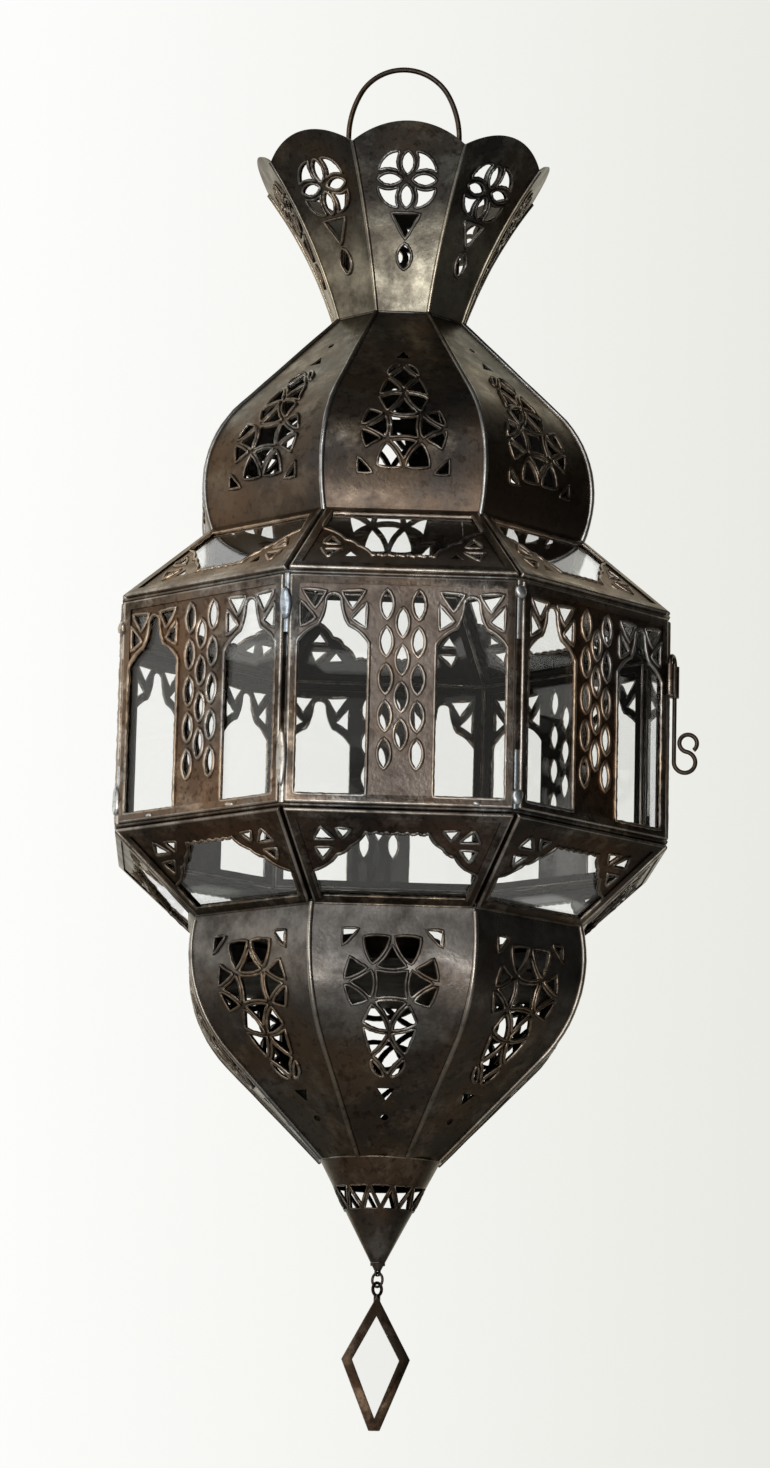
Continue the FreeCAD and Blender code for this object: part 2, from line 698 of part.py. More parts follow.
# Crown: eight petals that curve outward, each with a rosette, a triangle and a lens
def make_crown():
    arch_rise = size("crown_arch_rise")
    profile = FlareProfile(size("neck_apothem"), size("crown_mouth"), size("crown_height"), size("crown_bow"),
                           arch_rise)
    length = profile.mouth_length
    high = size("crown_mouth") * SEAM_RATIO
    beside = 2 * high
    outline = loop([(-beside, -arch_rise), (beside, -arch_rise), (beside, length), (high, length, -arch_rise),
                    (-high, length), (-beside, length)])
    middle = 0.78 * length
    ring = 0.52 * high
    petal_in = 0.2 * ring
    petal_out = 0.97 * ring
    petal_mid = (petal_in + petal_out) / 2
    petal_half = (petal_out - petal_in) / 2
    petal_wide = 0.19 * ring
    upright = [lens(0, middle + hand * petal_mid, petal_wide, petal_half) for hand in (1, -1)]
    level = both_sides([[(petal_in, middle, -petal_wide), (petal_out, middle, -petal_wide)]])
    wide = ring * math.cos(math.radians(18))
    short = ring * math.sin(math.radians(18))
    heart = 0.3 * ring
    segment_right = [(wide, short), (short, wide), (heart, heart)]
    segments = []
    for up in (1, -1):
        bulges = (-0.17 * ring * up, 0.08 * ring * up, 0.08 * ring * up)
        segments.append([(x, middle + up * y, bulge) for (x, y), bulge in zip(segment_right, bulges)])
    triangle = [(-0.24 * high, 0.575 * length), (0.24 * high, 0.575 * length), (0.0, 0.43 * length)]
    slit = lens(0, 0.325 * length, 0.11 * high, 0.072 * length)
    corner_loops = upright + level + both_sides(segments) + [triangle, slit]
    blank = gore(profile, [loop(corners) for corners in corner_loops], 0)
    petal = blank.common(front_prism(outline, profile, 0)).Solids[0]
    for side in range(SIDES):
        lift = Placement(Vector(0, 0, value(f"{NECK_Z} + sizes.tier_gap")), Rotation())
        keep_shape(f"crown_petal_{side + 1}", petal, turned(side * SIDE_TURN).multiply(lift))


def make_dome():
    profile = GoreProfile(size("neck_apothem"), size("dome_shoulder"), size("dome_round"),
                          size("dome_foot_drop"), size("dome_height"))
    dome_gore = gore(profile, interlace(size("dome_pattern_height")), size("dome_pattern_rise"))
    for side in range(SIDES):
        lift = Placement(Vector(0, 0, value(DOME_FOOT_Z)), Rotation())
        keep_shape(f"dome_gore_{side + 1}", dome_gore, turned(side * SIDE_TURN).multiply(lift))


def bulb_profile():
    return GoreProfile(size("bulb_end_apothem"), size("bulb_shoulder"), size("bulb_round"),
                       size("bulb_top_rise"), size("bulb_height"))


def make_bulb():
    upright = gore(bulb_profile(), interlace(size("bulb_pattern_height")), size("bulb_pattern_drop"))
    bulb_gore = upright.mirror(ORIGIN, AXIS)
    for side in range(SIDES):
        lift = Placement(Vector(0, 0, value(BULB_TOP_Z)), Rotation())
        keep_shape(f"bulb_gore_{side + 1}", bulb_gore, turned(side * SIDE_TURN).multiply(lift))


# Glazed tiers: roof, drum with its door, and skirt
def around(label, shape, places):
    keep_shape(label, Part.makeCompound([moved(shape, place) for place in places]))


def make_sloped_tier(name, panel, places, wide_end):
    frame = came(f"{name}_came", panel)
    glass = pane(f"{name}_pane", panel)
    around(f"{name}_frames", frame.Shape, places)
    around(f"{name}_fretwork", corner_fretwork(panel, wide_end), places)
    around(f"{name}_glass", glass.Shape, places)


def make_roof():
    panel = Panel("sizes.drum_apothem", ROOF_TOP, ROOF_LEAN, f"(sizes.roof_rise / cos({ROOF_LEAN}))")
    ring = (size("drum_apothem"), value(ROOF_BOTTOM_Z), value(ROOF_LEAN))
    places = [on_ring(side, *ring) for side in range(SIDES)]
    make_sloped_tier("roof", panel, places, "low")


def make_skirt():
    panel = Panel(SKIRT_BOTTOM, "sizes.drum_apothem", SKIRT_LEAN, f"(sizes.skirt_drop / cos({SKIRT_LEAN}))")
    ring = (value(SKIRT_BOTTOM), value(SKIRT_BOTTOM_Z), -value(SKIRT_LEAN))
    places = [on_ring(side, *ring) for side in range(SIDES)]
    make_sloped_tier("skirt", panel, places, "high")


def make_drum():
    panel = Panel("sizes.drum_apothem", "sizes.drum_apothem", "0", "sizes.drum_height")
    frame = came("drum_came", panel)
    glass = pane("drum_pane", panel)
    fixed = [side for side in range(SIDES) if side != DOOR_SIDE]
    places = [on_ring(side, size("drum_apothem"), value(DRUM_BOTTOM_Z)) for side in fixed]
    for number, place in enumerate(places, start=1):
        keep_shape(f"drum_frame_{number}", moved(frame.Shape, place))
    around("drum_fretwork", arch_fretwork(panel), places)
    around("drum_glass", glass.Shape, places)


def make_door():
    clearance = "sizes.door_clearance"
    panel = Panel("sizes.drum_apothem", "sizes.drum_apothem", "0", "sizes.drum_height", clearance)
    frame = came("door_came", panel)
    glass = pane("door_pane", panel)
    place = on_ring(DOOR_SIDE, size("drum_apothem"), value(f"{DRUM_BOTTOM_Z} + {clearance}"))
    keep_shape("door_frame", moved(frame.Shape, place))
    keep_shape("door_fretwork", arch_fretwork(panel), place)
    keep_shape("door_glass", moved(glass.Shape, place))


# Solder run into the upper and lower ends of the fixed corner grooves
def make_corner_solder():
    depth = size("solder_depth")
    root = value(f"(sizes.drum_apothem - {CAME_DEPTH}) / cos({SIDE_TURN / 2})") + 3 * size("seam_gap")
    half_root = size("seam_gap") * 0.5
    half_face = depth * SEAM_RATIO * 0.95
    groove = loop([(-half_root, 0), (half_root, 0), (half_face, depth, -0.11 * depth), (-half_face, depth)])
    fillet = Part.Face(groove).extrude(Vector(0, 0, size("solder_length")))
    levels = [value(DRUM_BOTTOM_Z), value(DRUM_TOP_Z) - size("solder_length")]
    fillets = []
    for corner in range(SIDES):
        if corner in (DOOR_SIDE - 1, DOOR_SIDE):
            continue
        for level in levels:
            stand = Placement(Vector(0, -root, level), Rotation(AXIS, 180))
            fillets.append(moved(fillet, turned((corner + 0.5) * SIDE_TURN).multiply(stand)))
    keep_shape("corner_solder", Part.makeCompound(fillets))


# Cone: thin shell with a zigzag band of triangles, and a solid tip flattened into an eye
def make_cone():
    taper = "(sizes.cone_radius / sizes.cone_height)"
    shell_height = f"(sizes.cone_height - sizes.cone_end_radius / {taper})"
    outer = bound("Part::Cone", "cone_outer", Radius1="sizes.cone_end_radius", Radius2="sizes.cone_radius",
                  Height=shell_height)
    inner = bound("Part::Cone", "cone_inner", Radius1="sizes.cone_end_radius - sizes.body_sheet",
                  Radius2="sizes.cone_radius - sizes.body_sheet", Height=shell_height)
    for item in (outer, inner):
        item.setExpression("Placement.Base.z", f"{CONE_TOP_Z} - {shell_height}")
    shell = cut("cone_shell", outer, inner)
    teeth = 12
    top = value(f"{CONE_TOP_Z} - sizes.band_drop")
    bottom = value(f"{CONE_TOP_Z} - sizes.band_drop - sizes.band_height")
    strap = size("band_strap")
    pitch_turn = 360 / teeth
    triangles = []
    for number in range(2 * teeth):
        level_in, level_out = (bottom, top) if number % 2 else (top, bottom)
        radius = value(f"({level_in} - {CONE_TIP_Z}) * {taper}")
        half = radius * math.tan(math.radians(pitch_turn / 2)) - strap * 0.75
        reach = level_out - math.copysign(strap, level_out - level_in)
        corners = [Vector(-half, 0, level_in), Vector(half, 0, level_in), Vector(0, 0, reach)]
        face = Part.Face(Part.makePolygon(corners + corners[:1]))
        prism = face.extrude(Vector(0, -2 * size("cone_radius"), 0))
        prism.rotate(ORIGIN, AXIS, number * pitch_turn / 2)
        triangles.append(prism)
    band = doc.addObject("Part::Feature", "cone_band")
    band.Shape = Part.makeCompound(triangles)
    keep("cone", cut("cone", shell, band))
    plug = bound("Part::Cone", "tip_plug", Radius1="sizes.tip_radius", Radius2="sizes.cone_end_radius",
                 Height=f"(sizes.cone_end_radius - sizes.tip_radius) / {taper} - sizes.tier_gap")
    plug.setExpression("Placement.Base.z", f"{CONE_TIP_Z} + sizes.tip_radius / {taper}")
    make_cone_tip(plug, value(f"{CONE_TIP_Z} + sizes.tip_radius / {taper}"))


def make_cone_tip(plug, plug_foot):
    depth = size("eye_sheet")
    turn = Rotation(AXIS, size("link_turn"))
    eye_z = value(EYE_Z)
    tab = bound("Part::Box", "tip_tab", Length="2 * sizes.eye_radius", Width="sizes.eye_sheet",
                Height=f"{plug_foot - eye_z} + sizes.eye_sheet")
    eye = Vector(0, 0, eye_z)
    tab.Placement = Placement(eye + turn.multVec(Vector(-size("eye_radius"), -depth / 2, 0)), turn)
    across = turn.multiply(Rotation(Vector(1, 0, 0), 90))
    rounding = bound("Part::Cylinder", "tip_round", Radius="sizes.eye_radius", Height="sizes.eye_sheet")
    rounding.Placement = Placement(eye + turn.multVec(Vector(0, depth / 2, 0)), across)
    bore = bound("Part::Cylinder", "tip_bore", Radius="sizes.eye_bore", Height="5 * sizes.eye_sheet")
    bore.Placement = Placement(eye + turn.multVec(Vector(0, 2.5 * depth, 0)), across)
    solid = fuse("tip_solid", fuse("tip_joined", plug, tab), rounding)
    keep("cone_tip", cut("cone_tip", solid, bore))


# Link ring through the eye, and the lozenge drop that hangs on it by its own loop
def make_link_ring():
    ring = bound("Part::Torus", "link_ring", Radius1="sizes.link_radius", Radius2="sizes.link_wire_radius")
    upright = Rotation(AXIS, size("link_turn")).multiply(Rotation(Vector(0, 1, 0), 90))
    ring.Placement = Placement(Vector(0, 0, value(f"{EYE_Z} - sizes.link_radius")), upright)
    keep("link_ring", ring)


def make_drop():
    body = doc.addObject("PartDesign::Body", "drop_came")
    low = "sizes.drop_height"
    widest = f"({low} - sizes.drop_widest)"
    up_edge = "sqrt(sizes.drop_half_width ^ 2 + sizes.drop_widest ^ 2)"
    down_edge = f"sqrt((sizes.drop_half_width - sizes.drop_tip_half) ^ 2 + {widest} ^ 2)"
    narrowing = "(sizes.drop_half_width - sizes.drop_tip_half)"
    fall = f"({widest} / {narrowing})"

    def lozenge(inset):
        top = f"({low} - {inset} * {up_edge} / sizes.drop_half_width)"
        foot = f"({inset} * {down_edge} / {narrowing} - sizes.drop_tip_half * {fall})"
        rise = "(sizes.drop_widest / sizes.drop_half_width)"
        half = f"(({top} - {foot}) / ({rise} + {fall}))"
        return foot, half, f"({foot} + {half} * {fall})", top

    outer = [("sizes.drop_tip_half", "0"), ("sizes.drop_half_width", widest), ("0", low)]
    pad(body, outline_sketch(body, "drop_outline", outer), CAME_DEPTH)
    depth_of_seat = "(sizes.glass_sheet + 2 * sizes.pane_clearance)"
    seat_top = f"-({CAME_DEPTH} - {depth_of_seat}) / 2"
    groove_inset = "(sizes.drop_face - sizes.came_lap / 2 - sizes.pane_clearance)"
    for name, inset, depth, length in (("drop_opening", "sizes.drop_face", "0", CAME_DEPTH),
                                       ("drop_groove", groove_inset, seat_top, depth_of_seat)):
        foot, half, level, top = lozenge(inset)
        pocket(body, outline_sketch(body, name, [("0", foot), (half, level), ("0", top)], depth), length)
    place = Placement(Vector(0, -value(CAME_DEPTH) / 2, value(f"{DROP_TOP_Z} - {low}")),
                      Rotation(Vector(1, 0, 0), 90))
    body.Placement = place
    ring = bound("Part::Torus", "drop_loop", Radius1="sizes.loop_radius", Radius2="sizes.loop_wire_radius")
    facing = Rotation(AXIS, size("link_turn")).multiply(Rotation(Vector(1, 0, 0), 90))
    ring.Placement = Placement(Vector(0, 0, value(f"{LOOP_TOP_Z} - sizes.loop_radius")), facing)
    neck_length = "sizes.drop_neck_length"
    neck = bound("Part::Cylinder", "drop_neck", Radius="sizes.drop_neck_radius", Height=neck_length)
    neck.setExpression("Placement.Base.z", f"{DROP_TOP_Z} + sizes.loop_wire_radius / 2 - {neck_length}")
    keep("drop_frame", fuse("drop_frame", fuse("drop_hung", body, neck), ring))
    glass = doc.addObject("PartDesign::Body", "drop_glass")
    foot, half, level, top = lozenge("(sizes.drop_face - sizes.came_lap / 2)")
    front = f"{seat_top} - sizes.pane_clearance"
    pane_sketch = outline_sketch(glass, "drop_pane", [("0", foot), (half, level), ("0", top)], front)
    pad(glass, pane_sketch, "sizes.glass_sheet")
    glass.Placement = place
    keep("drop_glass", glass)


# Candle plate soldered inside the bulb, and the cup that stands on it
def make_candle_holder():
    profile = bulb_profile()
    sink = size("plate_drop") + size("body_sheet") - size("bulb_top_rise")
    inner = profile.centre.x + math.sqrt((profile.radius - size("body_sheet")) ** 2 - sink ** 2)
    flat = inner - size("plate_gap")
    octagon = bound("Part::RegularPolygon", "plate_outline", Circumradius=f"{flat} / cos({SIDE_TURN / 2})")
    octagon.Polygon = SIDES
    underside = Vector(0, 0, value(f"{PLATE_Z} - sizes.body_sheet"))
    octagon.Placement = Placement(underside, Rotation(AXIS, SIDE_TURN / 2))
    flat_plate = bound("Part::Extrusion", "candle_plate", LengthFwd="sizes.body_sheet")
    flat_plate.Base = octagon
    flat_plate.DirMode = "Custom"
    flat_plate.Dir = AXIS
    flat_plate.Solid = True
    keep("candle_plate", flat_plate)
    outer = bound("Part::Cylinder", "cup_outer", Radius="sizes.cup_bore + sizes.body_sheet",
                  Height="sizes.cup_depth + sizes.body_sheet")
    outer.setExpression("Placement.Base.z", f"{PLATE_Z} + sizes.tier_gap")
    inside = bound("Part::Cylinder", "cup_inside", Radius="sizes.cup_bore", Height="2 * sizes.cup_depth")
    inside.setExpression("Placement.Base.z", f"{PLATE_Z} + sizes.tier_gap + sizes.body_sheet")
    keep("candle_cup", cut("candle_cup", outer, inside))


# Door hinge in the groove behind the door: knuckles with leaves, on two headed pins
def knuckle(hand):
    """One knuckle, foot at z = 0, with its leaf on the side's outer face (hand 1 to +x, -1 to -x)."""
    length = size("knuckle_length")
    stand = value(f"sizes.hinge_stand * cos({SIDE_TURN / 2})")
    leaf_far = size("knuckle_radius") + size("leaf_length")
    barrel = Part.makeCylinder(size("knuckle_radius"), length)
    low = -stand + size("face_gap")
    leaf = Part.makeBox(leaf_far, size("leaf_sheet"), length, Vector(0, low, 0))
    if hand < 0:
        leaf = leaf.mirror(ORIGIN, Vector(1, 0, 0))
    bore = Part.makeCylinder(value("sizes.hinge_pin_radius + sizes.running_clearance"), length)
    return barrel.fuse(leaf).cut(bore).removeSplitter()


def make_hinge():
    corner = DOOR_SIDE + 0.5
    reach = value(f"sizes.drum_apothem / cos({SIDE_TURN / 2}) + sizes.hinge_stand")
    length = size("knuckle_length")
    gap = size("knuckle_gap")
    pair = 2 * length + gap
    feet = [value(f"{DRUM_BOTTOM_Z} + sizes.hinge_inset"), value(f"{DRUM_TOP_Z} - sizes.hinge_inset") - pair]
    fixed = []
    moving = []
    pins = []
    head = size("hinge_head_height")
    for foot in feet:
        half_turn = SIDE_TURN / 2
        base = turned(corner * SIDE_TURN).multiply(Placement(Vector(0, -reach, foot), Rotation(AXIS, 180)))
        fixed.append(moved(knuckle(-1), base.multiply(turned(half_turn))))
        lifted = Placement(Vector(0, 0, length + gap), Rotation(AXIS, -half_turn))
        moving.append(moved(knuckle(1), base.multiply(lifted)))
        pin = Part.makeCylinder(size("hinge_pin_radius"), pair + gap)
        cap = Part.makeCylinder(size("knuckle_radius"), head, Vector(0, 0, pair + gap))
        pins.append(moved(pin.fuse(cap), base))
    keep_shape("hinge_fixed_knuckles", Part.makeCompound(fixed))
    keep_shape("hinge_door_knuckles", Part.makeCompound(moving))
    keep_shape("hinge_pins", Part.makeCompound(pins))


# Latch: a tube on the door, its keeper on the next frame, and a hairpin that drops into both
def latch_centre(side, hand):
    panel_half = value(f"(sizes.drum_apothem - {CAME_DEPTH}) * {SEAM} - sizes.latch_tube_inset")
    stand = value("sizes.latch_tube_radius + sizes.face_gap")
    place = on_ring(side, size("drum_apothem"), value(f"{DRUM_TOP_Z} - sizes.latch_tube_drop"))
    return place.multVec(Vector(hand * panel_half, 0, stand))


def latch_tube(label, top):
    length = "sizes.latch_tube_length"
    bore_radius = "sizes.latch_wire_radius + sizes.running_clearance"
    outer = bound("Part::Cylinder", label + "_outer", Radius="sizes.latch_tube_radius", Height=length)
    bore = bound("Part::Cylinder", label + "_bore", Radius=bore_radius, Height=length)
    for item in (outer, bore):
        item.Placement.Base = top - AXIS * size("latch_tube_length")
    keep(label, cut(label, outer, bore))


def make_latch():
    door_top = latch_centre(DOOR_SIDE, -1)
    keeper_top = latch_centre(DOOR_SIDE - 1, 1)
    latch_tube("latch_tube", door_top)
    latch_tube("latch_keeper", keeper_top)
    span = door_top - keeper_top
    lift = AXIS * size("latch_hang")
    bow = AXIS * (span.Length / 2)
    low = size("curl_low_radius")
    high = size("curl_high_radius")
    turn_up = math.radians(80)
    leg_foot = door_top - AXIS * (size("latch_tube_length") + size("latch_leg_drop"))
    low_centre = leg_foot + Vector(low, 0, 0)
    high_centre = low_centre + Vector(math.cos(turn_up), 0, math.sin(turn_up)) * (low + high)

    def on_curl(centre, radius, degrees):
        angle = math.radians(degrees)
        return centre + Vector(math.cos(angle), 0, math.sin(angle)) * radius

    short_foot = keeper_top - AXIS * (size("latch_tube_length") * 0.9)
    path = [
        Part.LineSegment(short_foot, keeper_top + lift).toShape(),
        Part.Arc(keeper_top + lift, (keeper_top + door_top) * 0.5 + lift + bow, door_top + lift).toShape(),
        Part.LineSegment(door_top + lift, leg_foot).toShape(),
        Part.Arc(leg_foot, on_curl(low_centre, low, 310), on_curl(low_centre, low, 440)).toShape(),
        Part.Arc(on_curl(high_centre, high, 260), on_curl(high_centre, high, 105),
                 on_curl(high_centre, high, -50)).toShape(),
    ]
    start = Placement(short_foot, Rotation())
    keep("latch_pin", round_wire("latch_pin", path, "sizes.latch_wire_radius", start))


make_bail()
make_hanger_bridge()
make_crown()
make_dome()
make_roof()
make_drum()
make_door()
make_corner_solder()
make_skirt()
make_bulb()
make_candle_holder()
make_cone()
make_link_ring()
make_drop()
make_hinge()
make_latch()
doc.recompute()

for item in doc.Objects:
    if "Invalid" in item.State or "Error" in item.State:
        raise RuntimeError(f"{item.Label} failed: {item.State}")
for piece in pieces:
    if piece.Shape.isNull() or not piece.Shape.isValid() or not piece.Shape.Solids:
        raise RuntimeError(f"{piece.Label} has no valid solid")

os.makedirs("parts", exist_ok=True)
for piece in pieces:
    piece.Shape.exportStep(f"parts/{piece.Label}.step")
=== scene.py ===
import math
import random

import bmesh
import bpy
from mathutils import Matrix, Vector


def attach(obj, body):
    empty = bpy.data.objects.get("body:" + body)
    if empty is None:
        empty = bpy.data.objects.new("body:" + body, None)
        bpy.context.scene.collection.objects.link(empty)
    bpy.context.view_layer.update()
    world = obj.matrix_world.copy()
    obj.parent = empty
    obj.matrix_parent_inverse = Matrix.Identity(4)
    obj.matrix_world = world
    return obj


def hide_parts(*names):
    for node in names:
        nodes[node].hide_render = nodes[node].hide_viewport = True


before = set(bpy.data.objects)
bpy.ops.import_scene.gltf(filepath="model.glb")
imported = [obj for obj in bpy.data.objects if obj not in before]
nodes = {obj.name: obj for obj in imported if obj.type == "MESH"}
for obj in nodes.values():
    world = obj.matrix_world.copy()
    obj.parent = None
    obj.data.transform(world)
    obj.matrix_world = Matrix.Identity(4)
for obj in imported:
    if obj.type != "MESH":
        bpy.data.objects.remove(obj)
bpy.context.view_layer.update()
scene = bpy.context.scene
scene.view_settings.view_transform = "Standard"


# Camera: the lantern hangs above eye level, so the lens stands low and looks up at it.
# The front panel is turned a little from the lens, and the picture leans by about a degree.
camera_data = bpy.data.cameras.new("camera")
camera_data.sensor_fit = "VERTICAL"
camera_data.sensor_height = 24
camera_data.lens = 75.04
camera = bpy.data.objects.new("camera", camera_data)
scene.collection.objects.link(camera)
front_turn = Matrix.Rotation(math.radians(-2.0), 4, "Z")
lens_stand = Matrix.Translation((-0.0019, -1.672, -0.5677))
look_up = Matrix.Rotation(math.radians(100.55), 4, "X")
picture_lean = Matrix.Rotation(math.radians(1.35), 4, "Z")
camera.matrix_world = front_turn @ lens_stand @ look_up @ picture_lean
scene.camera = camera


# Room: a white plastered wall behind the lantern, and a dim room behind the lens that is
# lighter on the left. Iron mirrors both, which gives it a dark front and pale flanks.
WALL_NEAR_WINDOW = (0.985, 0.985, 0.97, 1)
WALL_FAR_SIDE = (0.82, 0.82, 0.775, 1)
ROOM_TINT = (1.0, 0.972, 0.92, 1)
UNLIT = (0, 0, 0, 1)
DIMMING_TO_THE_RIGHT = 1.7
WALL_SLANT = 0.22
world = bpy.data.worlds.new("room")
scene.world = world
world.use_nodes = True
room = world.node_tree


def level_of(tree, factor, low, high, bottom=0.0, top=1.0):
    """The factor's stretch from low to high, spread between bottom and top."""
    reach = tree.nodes.new("ShaderNodeMapRange")
    limits = {"From Min": low, "From Max": high, "To Min": bottom, "To Max": top}
    for socket, number in limits.items():
        reach.inputs[socket].default_value = number
    tree.links.new(factor, reach.inputs["Value"])
    return reach.outputs["Result"]


def sum_of(tree, operation, first, second):
    """One sum of two values, each of them a socket or a number."""
    node = tree.nodes.new("ShaderNodeMath")
    node.operation = operation
    for socket, term in zip(node.inputs, (first, second)):
        if isinstance(term, (int, float)):
            socket.default_value = term
        else:
            tree.links.new(term, socket)
    return node.outputs["Value"]


def mixed(tree, factor, first, second, blend_type="MIX"):
    """Two colours mixed, each of them a socket or a colour."""
    blend = tree.nodes.new("ShaderNodeMix")
    blend.data_type = "RGBA"
    blend.blend_type = blend_type
    if isinstance(factor, (int, float)):
        blend.inputs["Factor"].default_value = factor
    else:
        tree.links.new(factor, blend.inputs["Factor"])
    for name, colour in (("A", first), ("B", second)):
        if isinstance(colour, tuple):
            blend.inputs[name].default_value = colour
        else:
            tree.links.new(colour, blend.inputs[name])
    return blend.outputs["Result"]


direction = room.nodes.new("ShaderNodeTexCoord")
way = room.nodes.new("ShaderNodeSeparateXYZ")
room.links.new(direction.outputs["Generated"], way.inputs[0])
to_right, to_wall, upward = (way.outputs[axis] for axis in "XYZ")
from_left = level_of(room, to_right, low=-0.9, high=0.9, bottom=1.0, top=0.0)
across = sum_of(room, "POWER", from_left, DIMMING_TO_THE_RIGHT)
window_side = level_of(room, across, low=0.0, high=1.0, bottom=0.02, top=0.90)
off_level = sum_of(room, "ABSOLUTE", upward, 0)
eye_height = level_of(room, off_level, low=0.2, high=0.75, bottom=1.0, top=0.2)
dim_room = sum_of(room, "MULTIPLY", window_side, eye_height)
room_tone = mixed(room, dim_room, UNLIT, ROOM_TINT)
far_side = level_of(room, to_right, low=-0.05, high=0.12)
wall_tone = mixed(room, far_side, WALL_NEAR_WINDOW, WALL_FAR_SIDE)
rays = room.nodes.new("ShaderNodeLightPath").outputs
not_mirrored = sum_of(room, "LESS_THAN", rays["Glossy Depth"], 0.5)
through_glass = sum_of(room, "MULTIPLY", rays["Is Transmission Ray"], not_mirrored)
seen = sum_of(room, "MAXIMUM", rays["Is Camera Ray"], through_glass)
slant = sum_of(room, "MULTIPLY", to_right, WALL_SLANT)
wall_end = sum_of(room, "SUBTRACT", to_wall, slant)
off_metal = sum_of(room, "MAXIMUM", rays["Is Glossy Ray"], rays["Is Transmission Ray"])
mirrored = sum_of(room, "MULTIPLY", off_metal, level_of(room, wall_end, low=0.25, high=0.55))
wall_shown = sum_of(room, "MAXIMUM", seen, mirrored)
backdrop = room.nodes["Background"].inputs
room.links.new(mixed(room, wall_shown, room_tone, wall_tone), backdrop["Color"])
backdrop["Strength"].default_value = 1.0


# Windows: one tall and soft to the left of the lens, a low and a high one for
# the curved sheets, and a small one that sets glints on rims and wires.
LANTERN_MIDDLE = Vector((0, 0, -0.25))


def soft_window(name, place, width, height, power):
    """A pane of soft light that is turned to the lantern and that the lens doesn't see."""
    light = bpy.data.lights.new(name, "AREA")
    light.shape = "RECTANGLE"
    light.size = width
    light.size_y = height
    light.energy = power
    holder = bpy.data.objects.new(name, light)
    aim = (LANTERN_MIDDLE - Vector(place)).to_track_quat("-Z", "Y").to_matrix().to_4x4()
    holder.matrix_world = Matrix.Translation(place) @ aim
    holder.visible_camera = False
    scene.collection.objects.link(holder)


soft_window("front_window", place=(-0.75, -2.3, -0.35), width=1.15, height=1.7, power=16)
soft_window("low_window", place=(0.0, -2.4, -1.05), width=1.0, height=0.6, power=10)
soft_window("high_window", place=(-0.3, -2.0, 1.2), width=1.2, height=0.7, power=4)
soft_window("small_window", place=(-1.2, -1.6, 0.9), width=0.35, height=0.35, power=5)


# Floor: plain boards in matt pale paint, well under the hanging lantern.
# Lens and glass see them lit as brightly as the wall, the iron far less.
FLOOR_LEVEL = -1.5
FLOOR_REACH = 4
FLOOR_PAINT = (0.8, 0.79, 0.76, 1)
SHARE_SEEN = 0.95
SHARE_MIRRORED = 0.1
floor_mesh = bpy.data.meshes.new("floor")
floor = bpy.data.objects.new("floor", floor_mesh)
scene.collection.objects.link(floor)
boards = bmesh.new()
bmesh.ops.create_grid(boards, x_segments=1, y_segments=1, size=FLOOR_REACH)
bmesh.ops.translate(boards, verts=boards.verts, vec=(0, 0, FLOOR_LEVEL))
boards.to_mesh(floor_mesh)
boards.free()
floor_paint = bpy.data.materials.new("floor_paint")
floor_paint.use_nodes = True
paint = floor_paint.node_tree
paint_surface = paint.nodes["Principled BSDF"].inputs
paint_surface["Base Color"].default_value = FLOOR_PAINT
paint_surface["Roughness"].default_value = 0.8
paint_surface["Specular IOR Level"].default_value = 0.1
paint_surface["Emission Color"].default_value = FLOOR_PAINT
floor_rays = paint.nodes.new("ShaderNodeLightPath").outputs
lens_or_glass = sum_of(paint, "MAXIMUM", floor_rays["Is Camera Ray"],
                       floor_rays["Is Transmission Ray"])
floor_seen = sum_of(paint, "MULTIPLY", lens_or_glass, SHARE_SEEN)
floor_mirrored = sum_of(paint, "MULTIPLY", floor_rays["Is Glossy Ray"], SHARE_MIRRORED)
floor_shown = sum_of(paint, "MAXIMUM", floor_seen, floor_mirrored)
paint.links.new(floor_shown, paint_surface["Emission Strength"])
floor_mesh.materials.append(floor_paint)


# Bail: a loop of drawn iron wire, bent by hand over a former and hooked into the bridge.
# The wire was browned in the fire and waxed, and hands have rubbed it in places.
PIT_SHADE = (0.30, 0.28, 0.26, 1)
COOL_TEMPER = (0.88, 0.98, 1.08, 1)
WARM_TEMPER = (1.12, 0.97, 0.80, 1)
# Near-black for faces turned inward: candle soot in part, painted shade inside the lantern in
# part.
SOOT_AND_PAINTED_SHADE = (0.012, 0.011, 0.010, 1)
GOLDEN_EDGE = (1.0, 0.965, 0.85, 1)
GRAIN_SHARE = 0.22
STAIN_SHARE = 0.7
RELIEF_DEPTH = 0.0006
FAINTEST_BAND = 0.25


def noise(tree, place, scale, detail, roughness=0.55):
    """A cloudy pattern with about so many clouds to the metre."""
    texture = tree.nodes.new("ShaderNodeTexNoise")
    texture.inputs["Scale"].default_value = scale
    texture.inputs["Detail"].default_value = detail
    texture.inputs["Roughness"].default_value = roughness
    tree.links.new(place, texture.inputs["Vector"])
    return texture.outputs["Fac"]


def turned_outward(tree, place, facing):
    """How far a face looks away from the lantern's axis; below zero it looks inward."""
    outward = tree.nodes.new("ShaderNodeVectorMath")
    outward.operation = "MULTIPLY"
    tree.links.new(place, outward.inputs[0])
    outward.inputs[1].default_value = (1, 1, 0)
    turned = tree.nodes.new("ShaderNodeVectorMath")
    turned.operation = "DOT_PRODUCT"
    tree.links.new(outward.outputs["Vector"], turned.inputs[0])
    tree.links.new(facing, turned.inputs[1])
    return turned.outputs["Value"]


